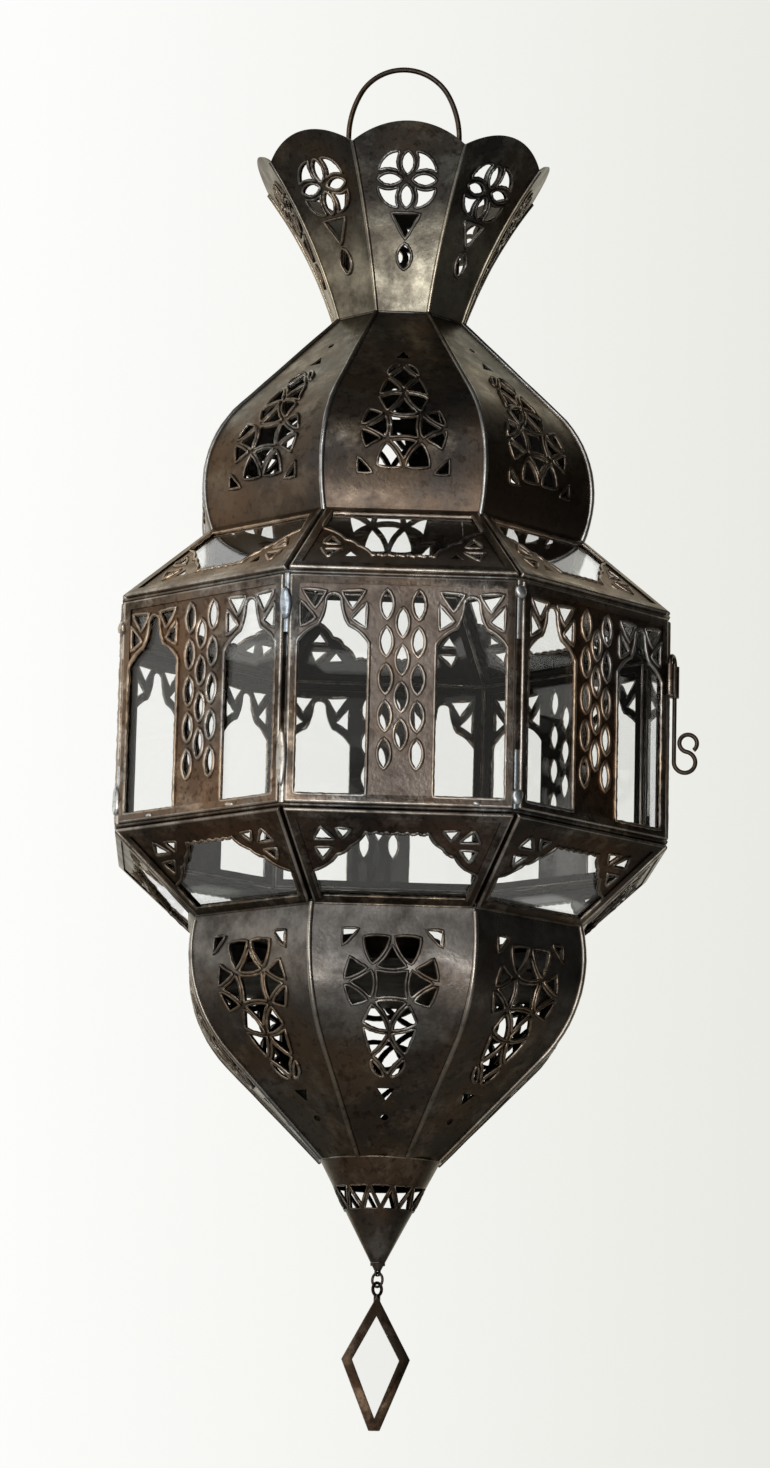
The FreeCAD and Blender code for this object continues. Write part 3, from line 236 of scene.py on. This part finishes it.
def build_browned_metal():
    """Mottled colour, roughness and fine relief of browned iron; faces turned inward get soot and
    painted shade.
    """
    tree = bpy.data.node_groups.new("browned_metal", "ShaderNodeTree")
    wanted = {"Place": "Vector", "Facing": "Vector", "Dark": "Color", "Brown": "Color",
              "Rubbed": "Color", "Gloss": "Float", "Soot_and_shade": "Float"}
    given_back = {"Color": "Color", "Roughness": "Float", "Height": "Float", "Mottle": "Float"}
    for name, kind in wanted.items():
        tree.interface.new_socket(name, in_out="INPUT", socket_type=f"NodeSocket{kind}")
    for name, kind in given_back.items():
        tree.interface.new_socket(name, in_out="OUTPUT", socket_type=f"NodeSocket{kind}")
    given = tree.nodes.new("NodeGroupInput").outputs
    result = tree.nodes.new("NodeGroupOutput").inputs
    place = given["Place"]

    clouds = noise(tree, place, scale=22, detail=5, roughness=0.6)
    stains = noise(tree, place, scale=75, detail=5, roughness=0.68)
    specks = noise(tree, place, scale=330, detail=3, roughness=0.7)
    temper = noise(tree, place, scale=17, detail=4)
    grain = noise(tree, place, scale=800, detail=1)

    browned = mixed(tree, level_of(tree, clouds, low=0.40, high=0.64),
                    given["Dark"], given["Brown"])
    rubbed = mixed(tree, level_of(tree, stains, low=0.50, high=0.74, top=0.85),
                   browned, given["Rubbed"])
    pitted = mixed(tree, level_of(tree, specks, low=0.53, high=0.66, top=0.7),
                   rubbed, PIT_SHADE, "MULTIPLY")
    tempered = mixed(tree, level_of(tree, temper, low=0.40, high=0.60), COOL_TEMPER, WARM_TEMPER)
    finished = mixed(tree, 1.0, pitted, tempered, "MULTIPLY")
    # Faces turned inward go near-black: soot and painted shade.
    inside = level_of(tree, turned_outward(tree, place, given["Facing"]), low=-0.002, high=-0.008)
    soot_and_shade_share = sum_of(tree, "MULTIPLY", inside, given["Soot_and_shade"])
    tree.links.new(mixed(tree, soot_and_shade_share, finished, SOOT_AND_PAINTED_SHADE), result["Color"])

    uneven_shine = level_of(tree, stains, low=0.3, high=0.7, bottom=0.10, top=-0.08)
    tree.links.new(sum_of(tree, "ADD", uneven_shine, given["Gloss"]), result["Roughness"])
    relief = sum_of(tree, "ADD", sum_of(tree, "MULTIPLY", grain, GRAIN_SHARE),
                    sum_of(tree, "MULTIPLY", stains, STAIN_SHARE))
    tree.links.new(relief, result["Height"])
    tree.links.new(stains, result["Mottle"])
    return tree


browned_metal = build_browned_metal()


# The soot share sets how far faces turned inward go near-black, as soot and painted shade.
def iron(name, dark, brown, rubbed, gloss, soot=1.0, band=None, worn=None, relief=0.35):
    """One batch of browned iron. The band is another tint that comes in between two levels,
    and the worn colour shows on the faces that carry the attribute of that name."""
    material = bpy.data.materials.new(name)
    material.use_nodes = True
    tree = material.node_tree
    surface = tree.nodes["Principled BSDF"].inputs
    surface["Metallic"].default_value = 0.95
    surface["Specular Tint"].default_value = GOLDEN_EDGE
    place = tree.nodes.new("ShaderNodeTexCoord").outputs
    finish = tree.nodes.new("ShaderNodeGroup")
    finish.node_tree = browned_metal
    tree.links.new(place["Object"], finish.inputs["Place"])
    tree.links.new(place["Normal"], finish.inputs["Facing"])
    for socket, colour in (("Dark", dark), ("Brown", brown), ("Rubbed", rubbed)):
        finish.inputs[socket].default_value = (*colour, 1)
    finish.inputs["Gloss"].default_value = gloss
    finish.inputs["Soot_and_shade"].default_value = soot
    colour = finish.outputs["Color"]
    mottle = finish.outputs["Mottle"]
    if band:
        split = tree.nodes.new("ShaderNodeSeparateXYZ")
        tree.links.new(place["Object"], split.inputs[0])
        rise = level_of(tree, split.outputs[band["axis"]], low=band["faded"], high=band["full"])
        patchy = level_of(tree, mottle, low=0.36, high=0.62,
                          bottom=FAINTEST_BAND * band["share"], top=band["share"])
        share = sum_of(tree, "MULTIPLY", rise, patchy)
        colour = mixed(tree, share, colour, (*band["tint"], 1))
    if worn:
        edge_mark = tree.nodes.new("ShaderNodeAttribute")
        edge_mark.attribute_name = "worn"
        patchy = level_of(tree, mottle, low=0.34, high=0.60, bottom=0.1, top=0.9)
        share = sum_of(tree, "MULTIPLY", edge_mark.outputs["Fac"], patchy)
        colour = mixed(tree, share, colour, (*worn, 1))
    tree.links.new(colour, surface["Base Color"])
    tree.links.new(finish.outputs["Roughness"], surface["Roughness"])
    bump = tree.nodes.new("ShaderNodeBump")
    bump.inputs["Strength"].default_value = relief
    bump.inputs["Distance"].default_value = RELIEF_DEPTH
    tree.links.new(finish.outputs["Height"], bump.inputs["Height"])
    tree.links.new(bump.outputs["Normal"], surface["Normal"])
    return material


def dress(node, material):
    """One material on a piece that keeps the shape of its solids."""
    mesh = nodes[node].data
    mesh.materials.clear()
    mesh.materials.append(material)


wire_iron = iron("wire_iron", dark=(0.050, 0.042, 0.036), brown=(0.076, 0.058, 0.045),
                 rubbed=(0.11, 0.095, 0.08), gloss=0.36, soot=0.0, relief=0.05)
dress("bail", wire_iron)


# Hanger bridge: a strip of thicker sheet iron, soldered across the neck.
# Its two ears are bent up and drilled for the ends of the bail.
bridge_iron = iron("bridge_iron", dark=(0.05, 0.043, 0.037), brown=(0.10, 0.07, 0.05),
                   rubbed=(0.17, 0.145, 0.12), gloss=0.5, soot=0.0)
dress("hanger_bridge", bridge_iron)


# Crown: eight petals of browned sheet iron, chiselled through from behind and soldered edge to
# edge. The rims that the chisel throws up are rubbed brighter than the sheet. The petals' lower
# part and the soldered seams carry a painted highlight that grows paler downwards.
# The bright rim iron is rubbed wear and painted highlight both: its colours are raised to stand
# for glints on the rims.
wear_and_highlight_rim_iron = iron("wear_and_highlight_rim_iron", dark=(0.21, 0.178, 0.153), brown=(0.47, 0.40, 0.345),
                rubbed=(0.72, 0.67, 0.59), gloss=0.32, soot=0.0, relief=0.2)
dark_rim_iron = iron("dark_rim_iron", dark=(0.075, 0.065, 0.056), brown=(0.18, 0.15, 0.125),
                     rubbed=(0.48, 0.44, 0.39), gloss=0.30, soot=0.0, relief=0.15)
seam_solder = iron("seam_solder", dark=(0.10, 0.092, 0.083), brown=(0.18, 0.16, 0.14),
                   rubbed=(0.44, 0.42, 0.39), gloss=0.30, soot=0.0, relief=0.1)
wobble = random.Random(7)
numbers = range(1, 9)
HALF_SIDE = math.pi / 8
SAME_POINT = 2e-6
SHARP_CORNER = math.radians(50)
OUTER_FACE = 0.55
HOLE_WALL = 0.5
LARGEST_HOLE = 0.062
BURR_STEP = 0.0014
BURR_SET_BACK = 0.0004
BURR_PROUD = 0.4
BURR_LIFTS = (-0.00006, 0.0001)
BURR_SHARES = (0.85, 1.2)
NEAR_CORNER = 0.0004
OUTER_EDGE = 0.25
SEAM_STEP = 0.0025
SEAM_LENGTHS = 0.007


def seam_metal_with_painted_highlight(name, faded, full, tint):
    """Dark solder with a painted highlight that makes it pale between two levels of a seam."""
    band = dict(axis="Z", faded=faded, full=full, tint=tint, share=0.95)
    return iron(name, dark=(0.090, 0.082, 0.074), brown=(0.14, 0.122, 0.104),
                rubbed=(0.25, 0.23, 0.205), gloss=0.28, soot=0.0, band=band, relief=0.06)


def merged_copy(node):
    """A copy of a piece's mesh whose faces share their corners."""
    shape = bmesh.new()
    shape.from_mesh(nodes[node].data)
    bmesh.ops.remove_doubles(shape, verts=shape.verts, dist=SAME_POINT)
    shape.normal_update()
    return shape


def away_from_axis(point):
    """Straight out from the axis, at a point."""
    return Vector((point.x, point.y, 0)).normalized()


def corner_turn(number):
    """How far round the axis a corner of the eight sides stands, from the front."""
    return (2 * number - 1) * HALF_SIDE


def way_round(turn):
    """Straight out from the axis, at a turn from the front."""
    return Vector((math.sin(turn), -math.cos(turn), 0))


def outer_corners(shape):
    """Sharp edges between an outer face and the wall of a hole or of the outline."""
    found = []
    for corner in shape.edges:
        if len(corner.link_faces) != 2 or corner.calc_face_angle() < SHARP_CORNER:
            continue
        facing = [face.normal.dot(away_from_axis(face.calc_center_median()))
                  for face in corner.link_faces]
        if max(facing) > OUTER_FACE and min(facing) < HOLE_WALL:
            found.append(corner)
    return found


def chained(corners):
    """Edges joined end to end into closed rings of points."""
    waiting = set(corners)
    rings = []
    for corner in corners:
        if corner not in waiting:
            continue
        waiting.discard(corner)
        ring = [corner.verts[0], corner.verts[1]]
        onward = corner
        while onward:
            onward = next((edge for edge in ring[-1].link_edges if edge in waiting), None)
            if onward:
                waiting.discard(onward)
                ring.append(onward.other_vert(ring[-1]))
        if ring[0] is ring[-1]:
            rings.append(ring[:-1])
    return rings


def evened(points, spacing):
    """The same line with its long stretches divided, so that a bead along it can be uneven."""
    result = [points[0]]
    for start, end in zip(points, points[1:]):
        count = max(1, round((end - start).length / spacing))
        result += [start.lerp(end, step / count) for step in range(1, count + 1)]
    return result


def uneven(points, spread=0.15):
    """Each point with its share of a bead's thickness, which differs by the spread."""
    return [(point, wobble.uniform(1 - spread, 1 + spread)) for point in points]


def beads(name, lines, thickness, closed):
    """Round beads along lines of (point, share of the thickness), as one mesh."""
    curve = bpy.data.curves.new(name, "CURVE")
    curve.dimensions = "3D"
    curve.bevel_depth = thickness
    curve.bevel_resolution = 1
    curve.use_fill_caps = not closed
    for line in lines:
        spline = curve.splines.new("POLY")
        spline.points.add(len(line) - 1)
        spline.use_cyclic_u = closed
        for spot, (point, share) in zip(spline.points, line):
            spot.co = (*point, 1)
            spot.radius = share
    holder = bpy.data.objects.new(name, curve)
    scene.collection.objects.link(holder)
    bpy.context.view_layer.update()
    solid = holder.evaluated_get(bpy.context.evaluated_depsgraph_get())
    mesh = bpy.data.meshes.new_from_object(solid)
    bpy.data.objects.remove(holder)
    return mesh


def fitted(name, mesh, material, body):
    """A new piece in its place on a body."""
    piece = bpy.data.objects.new(name, mesh)
    scene.collection.objects.link(piece)
    mesh.materials.clear()
    mesh.materials.append(material)
    for face in mesh.polygons:
        face.use_smooth = True
    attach(piece, body)
    return piece


def soldered(name, lines, thickness, material, closed=False):
    """Runs of solder on the lantern."""
    fitted(name, beads(name, lines, thickness, closed), material, "lantern")


def burred(name, lines, thickness, material, body):
    """Burrs round the holes of a sheet."""
    fitted(name, beads(name, lines, thickness, True), material, body)


def burr_line(ring, proud):
    """An uneven line round one hole, set back from its edge and standing out of the sheet."""
    spots = evened(ring + ring[:1], BURR_STEP)[:-1]
    out_of_sheet = away_from_axis(sum(spots, Vector()) / len(spots))
    sweep = sum((a.cross(b) for a, b in zip(spots, spots[1:] + spots[:1])), Vector())
    turn = 1 if sweep.dot(out_of_sheet) > 0 else -1
    line = []
    for before, point, after in zip(spots[-1:] + spots[:-1], spots, spots[1:] + spots[:1]):
        off_hole = (after - before).cross(out_of_sheet).normalized() * turn * BURR_SET_BACK
        lift = away_from_axis(point) * (proud + wobble.uniform(*BURR_LIFTS))
        line.append((point + off_hole + lift, wobble.uniform(*BURR_SHARES)))
    return line


def burr_lines(node, proud, largest_girth=LARGEST_HOLE):
    """Lines along the outer edge of every hole in a sheet that is no larger than the girth."""
    shape = merged_copy(node)
    lines = []
    for ring in chained(outer_corners(shape)):
        points = [vertex.co for vertex in ring]
        girth = sum((a - b).length for a, b in zip(points, points[1:] + points[:1]))
        if girth <= largest_girth:
            lines.append(burr_line(points, proud))
    shape.free()
    return lines


def seam_line(node, number, in_groove=False):
    """Points up one side of a sheet, moved on to the corner plane that it shares with its
    neighbour: along its outer edge, or along the bottom of the groove between two frames."""
    shape = merged_copy(node)
    way_out = way_round(corner_turn(number))
    aside = Vector((-way_out.y, way_out.x, 0))
    farthest = {}
    for vertex in shape.verts:
        reach = vertex.co.dot(way_out)
        if reach <= 0 or abs(vertex.co.dot(aside)) >= NEAR_CORNER:
            continue
        if in_groove or any(face.normal.dot(way_out) > OUTER_EDGE for face in vertex.link_faces):
            level = round(vertex.co.z, 4)
            farthest[level] = max(farthest.get(level, 0), reach)
    shape.free()
    outline = [way_out * reach + Vector((0, 0, level))
               for level, reach in sorted(farthest.items())]
    kept = outline[:1]
    for point in outline[1:]:
        if (point - kept[-1]).length > SEAM_STEP:
            kept.append(point)
    return kept


def pierced_sheets(kind, sheet_iron, burr, seam, seam_iron):
    """Dress eight like sheets, raise the burrs of their holes and run solder down their seams."""
    for number in numbers:
        dress(f"{kind}_{number}", sheet_iron)
    burrs = [line for number in numbers
             for line in burr_lines(f"{kind}_{number}", BURR_PROUD * burr)]
    burred(f"{kind}_burrs", burrs, burr, dark_rim_iron, "lantern")
    seams = [uneven(evened(seam_line(f"{kind}_{number}", number), SEAM_LENGTHS), spread=0.08)
             for number in numbers]
    soldered(f"{kind}_seams", seams, seam, seam_iron)


# Painted highlight: the petals turn paler olive-grey towards their lower end.
crown_painted_highlight = dict(axis="Z", faded=-0.062, full=-0.085, tint=(0.36, 0.33, 0.255), share=0.80)
crown_iron = iron("crown_iron", dark=(0.034, 0.029, 0.025), brown=(0.070, 0.053, 0.040),
                  rubbed=(0.16, 0.142, 0.112), gloss=0.34, band=crown_painted_highlight)
crown_seam = seam_metal_with_painted_highlight("crown_seam", faded=-0.045, full=-0.075, tint=(0.48, 0.42, 0.32))
pierced_sheets("crown_petal", crown_iron, burr=0.00060, seam=0.00085, seam_iron=crown_seam)


# Dome: eight gores of the same sheet, bent over a former and soldered. The sheet turns warm
# brown towards its lower edge. The seams carry a painted highlight that is pale towards the foot
# and fades towards the neck. A thin run of solder closes neck and foot.
dome_band = dict(axis="Z", faded=-0.160, full=-0.178, tint=(0.098, 0.069, 0.050), share=0.8)
dome_iron = iron("dome_iron", dark=(0.052, 0.049, 0.047), brown=(0.13, 0.094, 0.068),
                 rubbed=(0.27, 0.245, 0.20), gloss=0.33, band=dome_band)
dome_seam = seam_metal_with_painted_highlight("dome_seam", faded=-0.110, full=-0.150, tint=(0.50, 0.50, 0.49))
pierced_sheets("dome_gore", dome_iron, burr=0.00060, seam=0.00105, seam_iron=dome_seam)
RUN_LENGTHS = 0.006


def ring_of_solder(name, apothem, level, thickness, material=seam_solder):
    """A run of solder round the eight sides, back to its first corner."""
    radius = apothem / math.cos(HALF_SIDE)
    corners = [way_round(corner_turn(number)) * radius + Vector((0, 0, level))
               for number in (*numbers, 1)]
    soldered(name, [uneven(evened(corners, RUN_LENGTHS)[:-1])], thickness, material, closed=True)


ring_of_solder("neck_solder", apothem=0.0233, level=-0.1011, thickness=0.0005)
ring_of_solder("dome_foot_solder", apothem=0.0681, level=-0.1872, thickness=0.0004)


# Roof: eight sloped panels, each a strip-iron frame folded round a pane and a pierced sheet.
# The frame's edges are rounded by the folding tongs and rubbed; the sheets inside stay brown.
# Solder lies in the grooves between the frames.
frame_iron = iron("frame_iron", dark=(0.060, 0.051, 0.044), brown=(0.20, 0.147, 0.112),
                  rubbed=(0.47, 0.42, 0.37), gloss=0.32, worn=(0.52, 0.47, 0.415), relief=0.7)
# Painted light: the fretwork on the front side is turned paler grey.
front_painted_light = dict(axis="Y", faded=-0.088, full=-0.0945, tint=(0.285, 0.24, 0.21), share=0.95)
fret_iron = iron("fret_iron", dark=(0.058, 0.043, 0.034), brown=(0.17, 0.114, 0.080),
                 rubbed=(0.32, 0.255, 0.20), gloss=0.34, band=front_painted_light, relief=0.6)
joint_solder = iron("joint_solder", dark=(0.045, 0.040, 0.036), brown=(0.12, 0.10, 0.085),
                    rubbed=(0.44, 0.43, 0.41), gloss=0.42, soot=0.0)
FLAT = math.radians(1)
OUTWARD_BEND = math.radians(25)
SHARP_SHADING = math.radians(35)
OUTER_FOLD = 0.0008
NARROW_LIP = 0.001
FRET_BURR = 0.00070
FRET_BURR_PROUD = 0.0001
LARGEST_ROOF_HOLE = 0.18
JOINT = 0.0007
FOOT_APOTHEM = 0.09895
GLASS_TINT = (0.99, 0.995, 0.99, 1)

pane_glass = bpy.data.materials.new("pane_glass")
pane_glass.use_nodes = True
pane = pane_glass.node_tree
pane_surface = pane.nodes["Principled BSDF"].inputs
pane_surface["Base Color"].default_value = GLASS_TINT
pane_surface["Metallic"].default_value = 0.0
pane_surface["Transmission Weight"].default_value = 1.0
pane_surface["IOR"].default_value = 1.47
pane_surface["Roughness"].default_value = 0.0
pane_place = pane.nodes.new("ShaderNodeTexCoord").outputs["Object"]
pane_waves = pane.nodes.new("ShaderNodeBump")
pane_waves.inputs["Strength"].default_value = 0.02
pane_waves.inputs["Distance"].default_value = 0.002
pane.links.new(noise(pane, pane_place, scale=28, detail=2), pane_waves.inputs["Height"])
pane.links.new(pane_waves.outputs["Normal"], pane_surface["Normal"])


def is_lip(corner):
    """Whether an edge borders the thin lip of a folded strip."""
    return any(face.calc_area() / max(side.calc_length() for side in face.edges) < NARROW_LIP
               for face in corner.link_faces)


def round_folds(shape, fold):
    """Round the outward bends of a frame, except its lips, and mark the new faces as worn."""
    worn = shape.faces.layers.float.new("worn")
    bends = [corner for corner in shape.edges
             if len(corner.link_faces) == 2
             and corner.calc_face_angle_signed() > OUTWARD_BEND and not is_lip(corner)]
    made = bmesh.ops.bevel(shape, geom=bends, offset=fold, offset_type="OFFSET", affect="EDGES",
                           segments=3, profile=0.5, clamp_overlap=True, material=-1)
    for face in made["faces"]:
        face[worn] = 1.0


def folded(node, body, fold=OUTER_FOLD, material=frame_iron):
    """A copy of a folded frame with its outer edges well rounded."""
    shape = merged_copy(node)
    bmesh.ops.dissolve_limit(shape, angle_limit=FLAT, verts=shape.verts, edges=shape.edges)
    round_folds(shape, fold)
    bmesh.ops.recalc_face_normals(shape, faces=shape.faces)
    name = f"{node}_folded"
    mesh = bpy.data.meshes.new(name)
    shape.to_mesh(mesh)
    shape.free()
    piece = fitted(name, mesh, material, body)
    mesh.set_sharp_from_angle(angle=SHARP_SHADING)
    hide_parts(node)


def framed_tier(name, body, largest_hole, sheet_iron=fret_iron, burr_iron=wear_and_highlight_rim_iron):
    """Fretwork with its burrs, and the panes behind it."""
    dress(f"{name}_fretwork", sheet_iron)
    burrs = burr_lines(f"{name}_fretwork", FRET_BURR_PROUD, largest_hole)
    burred(f"{name}_fretwork_burrs", burrs, FRET_BURR, burr_iron, body)
    dress(f"{name}_glass", pane_glass)


def soldered_hips(tier):
    """Runs of solder where the frames of a sloped tier meet, corner by corner."""
    grooves = [seam_line(f"{tier}_frames", number, in_groove=True) for number in numbers]
    runs = [uneven(evened(groove, RUN_LENGTHS)) for groove in grooves]
    soldered(f"{tier}_hips", runs, JOINT, joint_solder)


folded("roof_frames", "lantern")
framed_tier("roof", "lantern", LARGEST_ROOF_HOLE)
soldered_hips("roof")
ring_of_solder("roof_foot_solder", apothem=FOOT_APOTHEM, level=-0.2177, thickness=JOINT)


# Drum: seven upright panels made like the roof's, soldered into an eight-sided wall.
# Each has a pierced pillar of sheet iron between two arches, in front of its pane. The sheet
# of the front panel is painted paler grey, as painted light on the side that faces the front.
LARGEST_DRUM_HOLE = 0.25
for number in range(1, 8):
    folded(f"drum_frame_{number}", "lantern")
framed_tier("drum", "lantern", LARGEST_DRUM_HOLE)


# Corner solder: long fillets of soft solder in the grooves between the drum's frames, with lumps
# where the soldering iron was lifted off. It is dull blue-grey where the wax did not take.
soft_solder = iron("soft_solder", dark=(0.46, 0.47, 0.48), brown=(0.64, 0.65, 0.65),
                   rubbed=(0.86, 0.87, 0.88), gloss=0.34, soot=0.0)
DRUM_FOOT, DRUM_HEAD = -0.2995, -0.2187
DRUM_APOTHEM = 0.1
FRAME_INSIDE = 0.0966
DOOR_CORNERS = (2, 3)
JOINT_PROUD = 0.6
DAB_SUNK = 0.0004
DAB_DEPTH = 0.0012
DAB_SHARES = (0.80, 1.12)
RAIL_DAB = 0.0010
INNER_CORNER = FRAME_INSIDE / math.cos(HALF_SIDE)
OUTER_CORNER = DRUM_APOTHEM / math.cos(HALF_SIDE) - DAB_SUNK
RAIL_FACE = DRUM_APOTHEM - DAB_SUNK
# The corners' dabs have a level and a half height, the foot rail's a turn and a level.
HIGH_DABS = {8: (-0.2295, 0.0066), 1: (-0.2225, 0.0028)}
LOW_DABS = {8: (-0.2845, 0.0115), 1: (-0.2955, 0.0032)}
RAIL_SPOTS = ((0.27, -0.2985), (-0.62, -0.2984), (-1.02, -0.2984), (2.2, -0.2986),
              (2.9, -0.2985), (3.9, -0.2984))
fixed_corners = [number for number in numbers if number not in DOOR_CORNERS]
runs = []
for number in fixed_corners:
    groove = way_round(corner_turn(number)) * (INNER_CORNER + JOINT_PROUD * JOINT)
    ends = [groove + Vector((0, 0, level)) for level in (DRUM_FOOT, DRUM_HEAD)]
    runs.append(uneven(evened(ends, RUN_LENGTHS)))
soldered("drum_corner_runs", runs, JOINT, joint_solder)
dress("corner_solder", soft_solder)


def solder_dabs(name, spots):
    """Flattened lumps of solder at (turn round the axis, reach, level, half width and height)."""
    lumps = bmesh.new()
    for turn, reach, level, half_width, half_height in spots:
        place = Matrix.Rotation(turn, 4, "Z") @ Matrix.Translation((0, -reach, level))
        spread = Matrix.Diagonal((half_width, DAB_DEPTH, half_height, 1))
        made = bmesh.ops.create_icosphere(lumps, subdivisions=2, radius=1, matrix=place @ spread)
        for vertex in made["verts"]:
            vertex.co = place @ ((place.inverted() @ vertex.co) * wobble.uniform(*DAB_SHARES))
    bmesh.ops.smooth_vert(lumps, verts=lumps.verts, factor=0.35, use_axis_x=True,
                          use_axis_y=True, use_axis_z=True)
    mesh = bpy.data.meshes.new(name)
    lumps.to_mesh(mesh)
    lumps.free()
    fitted(name, mesh, soft_solder, "lantern")


dabs = []
for number in fixed_corners:
    high_dab = (wobble.uniform(-0.229, -0.222), wobble.uniform(0.002, 0.004))
    low_dab = (wobble.uniform(-0.294, -0.280), wobble.uniform(0.003, 0.008))
    for level, half_height in (HIGH_DABS.get(number, high_dab), LOW_DABS.get(number, low_dab)):
        half_width = wobble.uniform(0.0020, 0.0028)
        dabs.append((corner_turn(number), OUTER_CORNER, level, half_width, half_height))
for turn, level in RAIL_SPOTS:
    side = 2 * HALF_SIDE * round(turn / (2 * HALF_SIDE))
    reach = RAIL_FACE / math.cos(turn - side)
    dabs.append((turn, reach, level, wobble.uniform(0.002, 0.004), RAIL_DAB))
solder_dabs("drum_solder_dabs", dabs)


# Door: the eighth panel of the drum, a folded frame with pane and pierced sheet like the others.
# It isn't soldered in but hangs on the hinge at one edge.
folded("door_frame", "door")
framed_tier("door", "door", LARGEST_DRUM_HOLE)


# Skirt: the roof upside down, with its scalloped strips along the drum. Its frames and sheets
# are darker than those above, as painted shade on the tier that faces down.
# Darker frame and sheet iron for the skirt: painted shade on the tier that faces down.
skirt_frame_iron_painted_shade = iron("skirt_frame_iron_painted_shade", dark=(0.026, 0.022, 0.019),
                        brown=(0.075, 0.052, 0.038), rubbed=(0.24, 0.20, 0.17), gloss=0.32,
                        worn=(0.36, 0.32, 0.28))
skirt_fret_iron_painted_shade = iron("skirt_fret_iron_painted_shade", dark=(0.028, 0.020, 0.016), brown=(0.085, 0.050, 0.034),
                       rubbed=(0.17, 0.125, 0.095), gloss=0.34)
folded("skirt_frames", "lantern", material=skirt_frame_iron_painted_shade)
framed_tier("skirt", "lantern", LARGEST_ROOF_HOLE, skirt_fret_iron_painted_shade, dark_rim_iron)
soldered_hips("skirt")
ring_of_solder("skirt_head_solder", apothem=FOOT_APOTHEM, level=-0.3005, thickness=JOINT,
               material=joint_solder)


# Bulb: eight gores like the dome's, soldered under the skirt. The sheet and its seams are painted
# paler under the rim as painted light from above, and darker towards the cone as painted shade
# underneath.
# Painted light: the gores turn paler grey under the rim, and stay dark below as painted shade.
bulb_painted_light = dict(axis="Z", faded=-0.380, full=-0.335, tint=(0.27, 0.255, 0.24), share=0.8)
bulb_iron = iron("bulb_iron", dark=(0.032, 0.029, 0.027), brown=(0.078, 0.058, 0.043),
                 rubbed=(0.17, 0.15, 0.125), gloss=0.33, band=bulb_painted_light)
bulb_seam = seam_metal_with_painted_highlight("bulb_seam", faded=-0.395, full=-0.350, tint=(0.46, 0.42, 0.37))
pierced_sheets("bulb_gore", bulb_iron, burr=0.00062, seam=0.00105, seam_iron=bulb_seam)
ring_of_solder("bulb_rim_solder", apothem=0.0696, level=-0.3305, thickness=0.0004)


# Candle holder: a plate of sheet iron soldered inside the bulb, and a cup that stands on it.
# Both are black with soot and old wax.
holder_iron = iron("holder_iron", dark=(0.012, 0.010, 0.009), brown=(0.026, 0.019, 0.014),
                   rubbed=(0.055, 0.045, 0.036), gloss=0.62, soot=0.0)
for part in ("candle_plate", "candle_cup"):
    dress(part, holder_iron)


# Cone: sheet iron rolled to a point with a zigzag cut round it, soldered under the bulb.
# A solid tip with a flattened eye closes it, and a ledge of solder runs round its top.
cone_iron = iron("cone_iron", dark=(0.040, 0.033, 0.028), brown=(0.10, 0.068, 0.047),
                 rubbed=(0.17, 0.145, 0.12), gloss=0.34)
dress("cone", cone_iron)
dress("cone_tip", bridge_iron)
LEDGE_RADIUS = 0.0219
LEDGE_LEVEL = -0.4148
LEDGE_POINTS = 40
LEDGE_THICKNESS = 0.0005
CONE_BURR = 0.00024
CONE_BURR_PROUD = 0.00005
ledge_turns = [step * 2 * math.pi / LEDGE_POINTS for step in range(LEDGE_POINTS)]
ledge = [Vector((LEDGE_RADIUS * math.sin(turn), LEDGE_RADIUS * math.cos(turn), LEDGE_LEVEL))
         for turn in ledge_turns]
soldered("cone_ledge", [uneven(ledge)], LEDGE_THICKNESS, seam_solder, closed=True)
burred("cone_burrs", burr_lines("cone", CONE_BURR_PROUD), CONE_BURR, dark_rim_iron, "lantern")


# Link ring and drop: a wire ring through the tip's eye, and a lozenge of glass that hangs on it
# in a folded frame of dark strip iron.
drop_iron = iron("drop_iron", dark=(0.014, 0.011, 0.009), brown=(0.036, 0.022, 0.015),
                 rubbed=(0.085, 0.066, 0.05), gloss=0.36, soot=0.0, worn=(0.13, 0.095, 0.07))
dress("link_ring", wire_iron)
folded("drop_frame", "drop", fold=0.0006, material=drop_iron)
dress("drop_glass", pane_glass)


# Hinge and latch: rolled knuckles of strip iron on headed pins behind the door, and a bent wire
# pin that drops through a tube on the door into one on its neighbour.
for part in ("hinge_pins", "latch_pin"):
    dress(part, wire_iron)
for part in ("latch_tube", "latch_keeper", "hinge_fixed_knuckles", "hinge_door_knuckles"):
    dress(part, frame_iron)
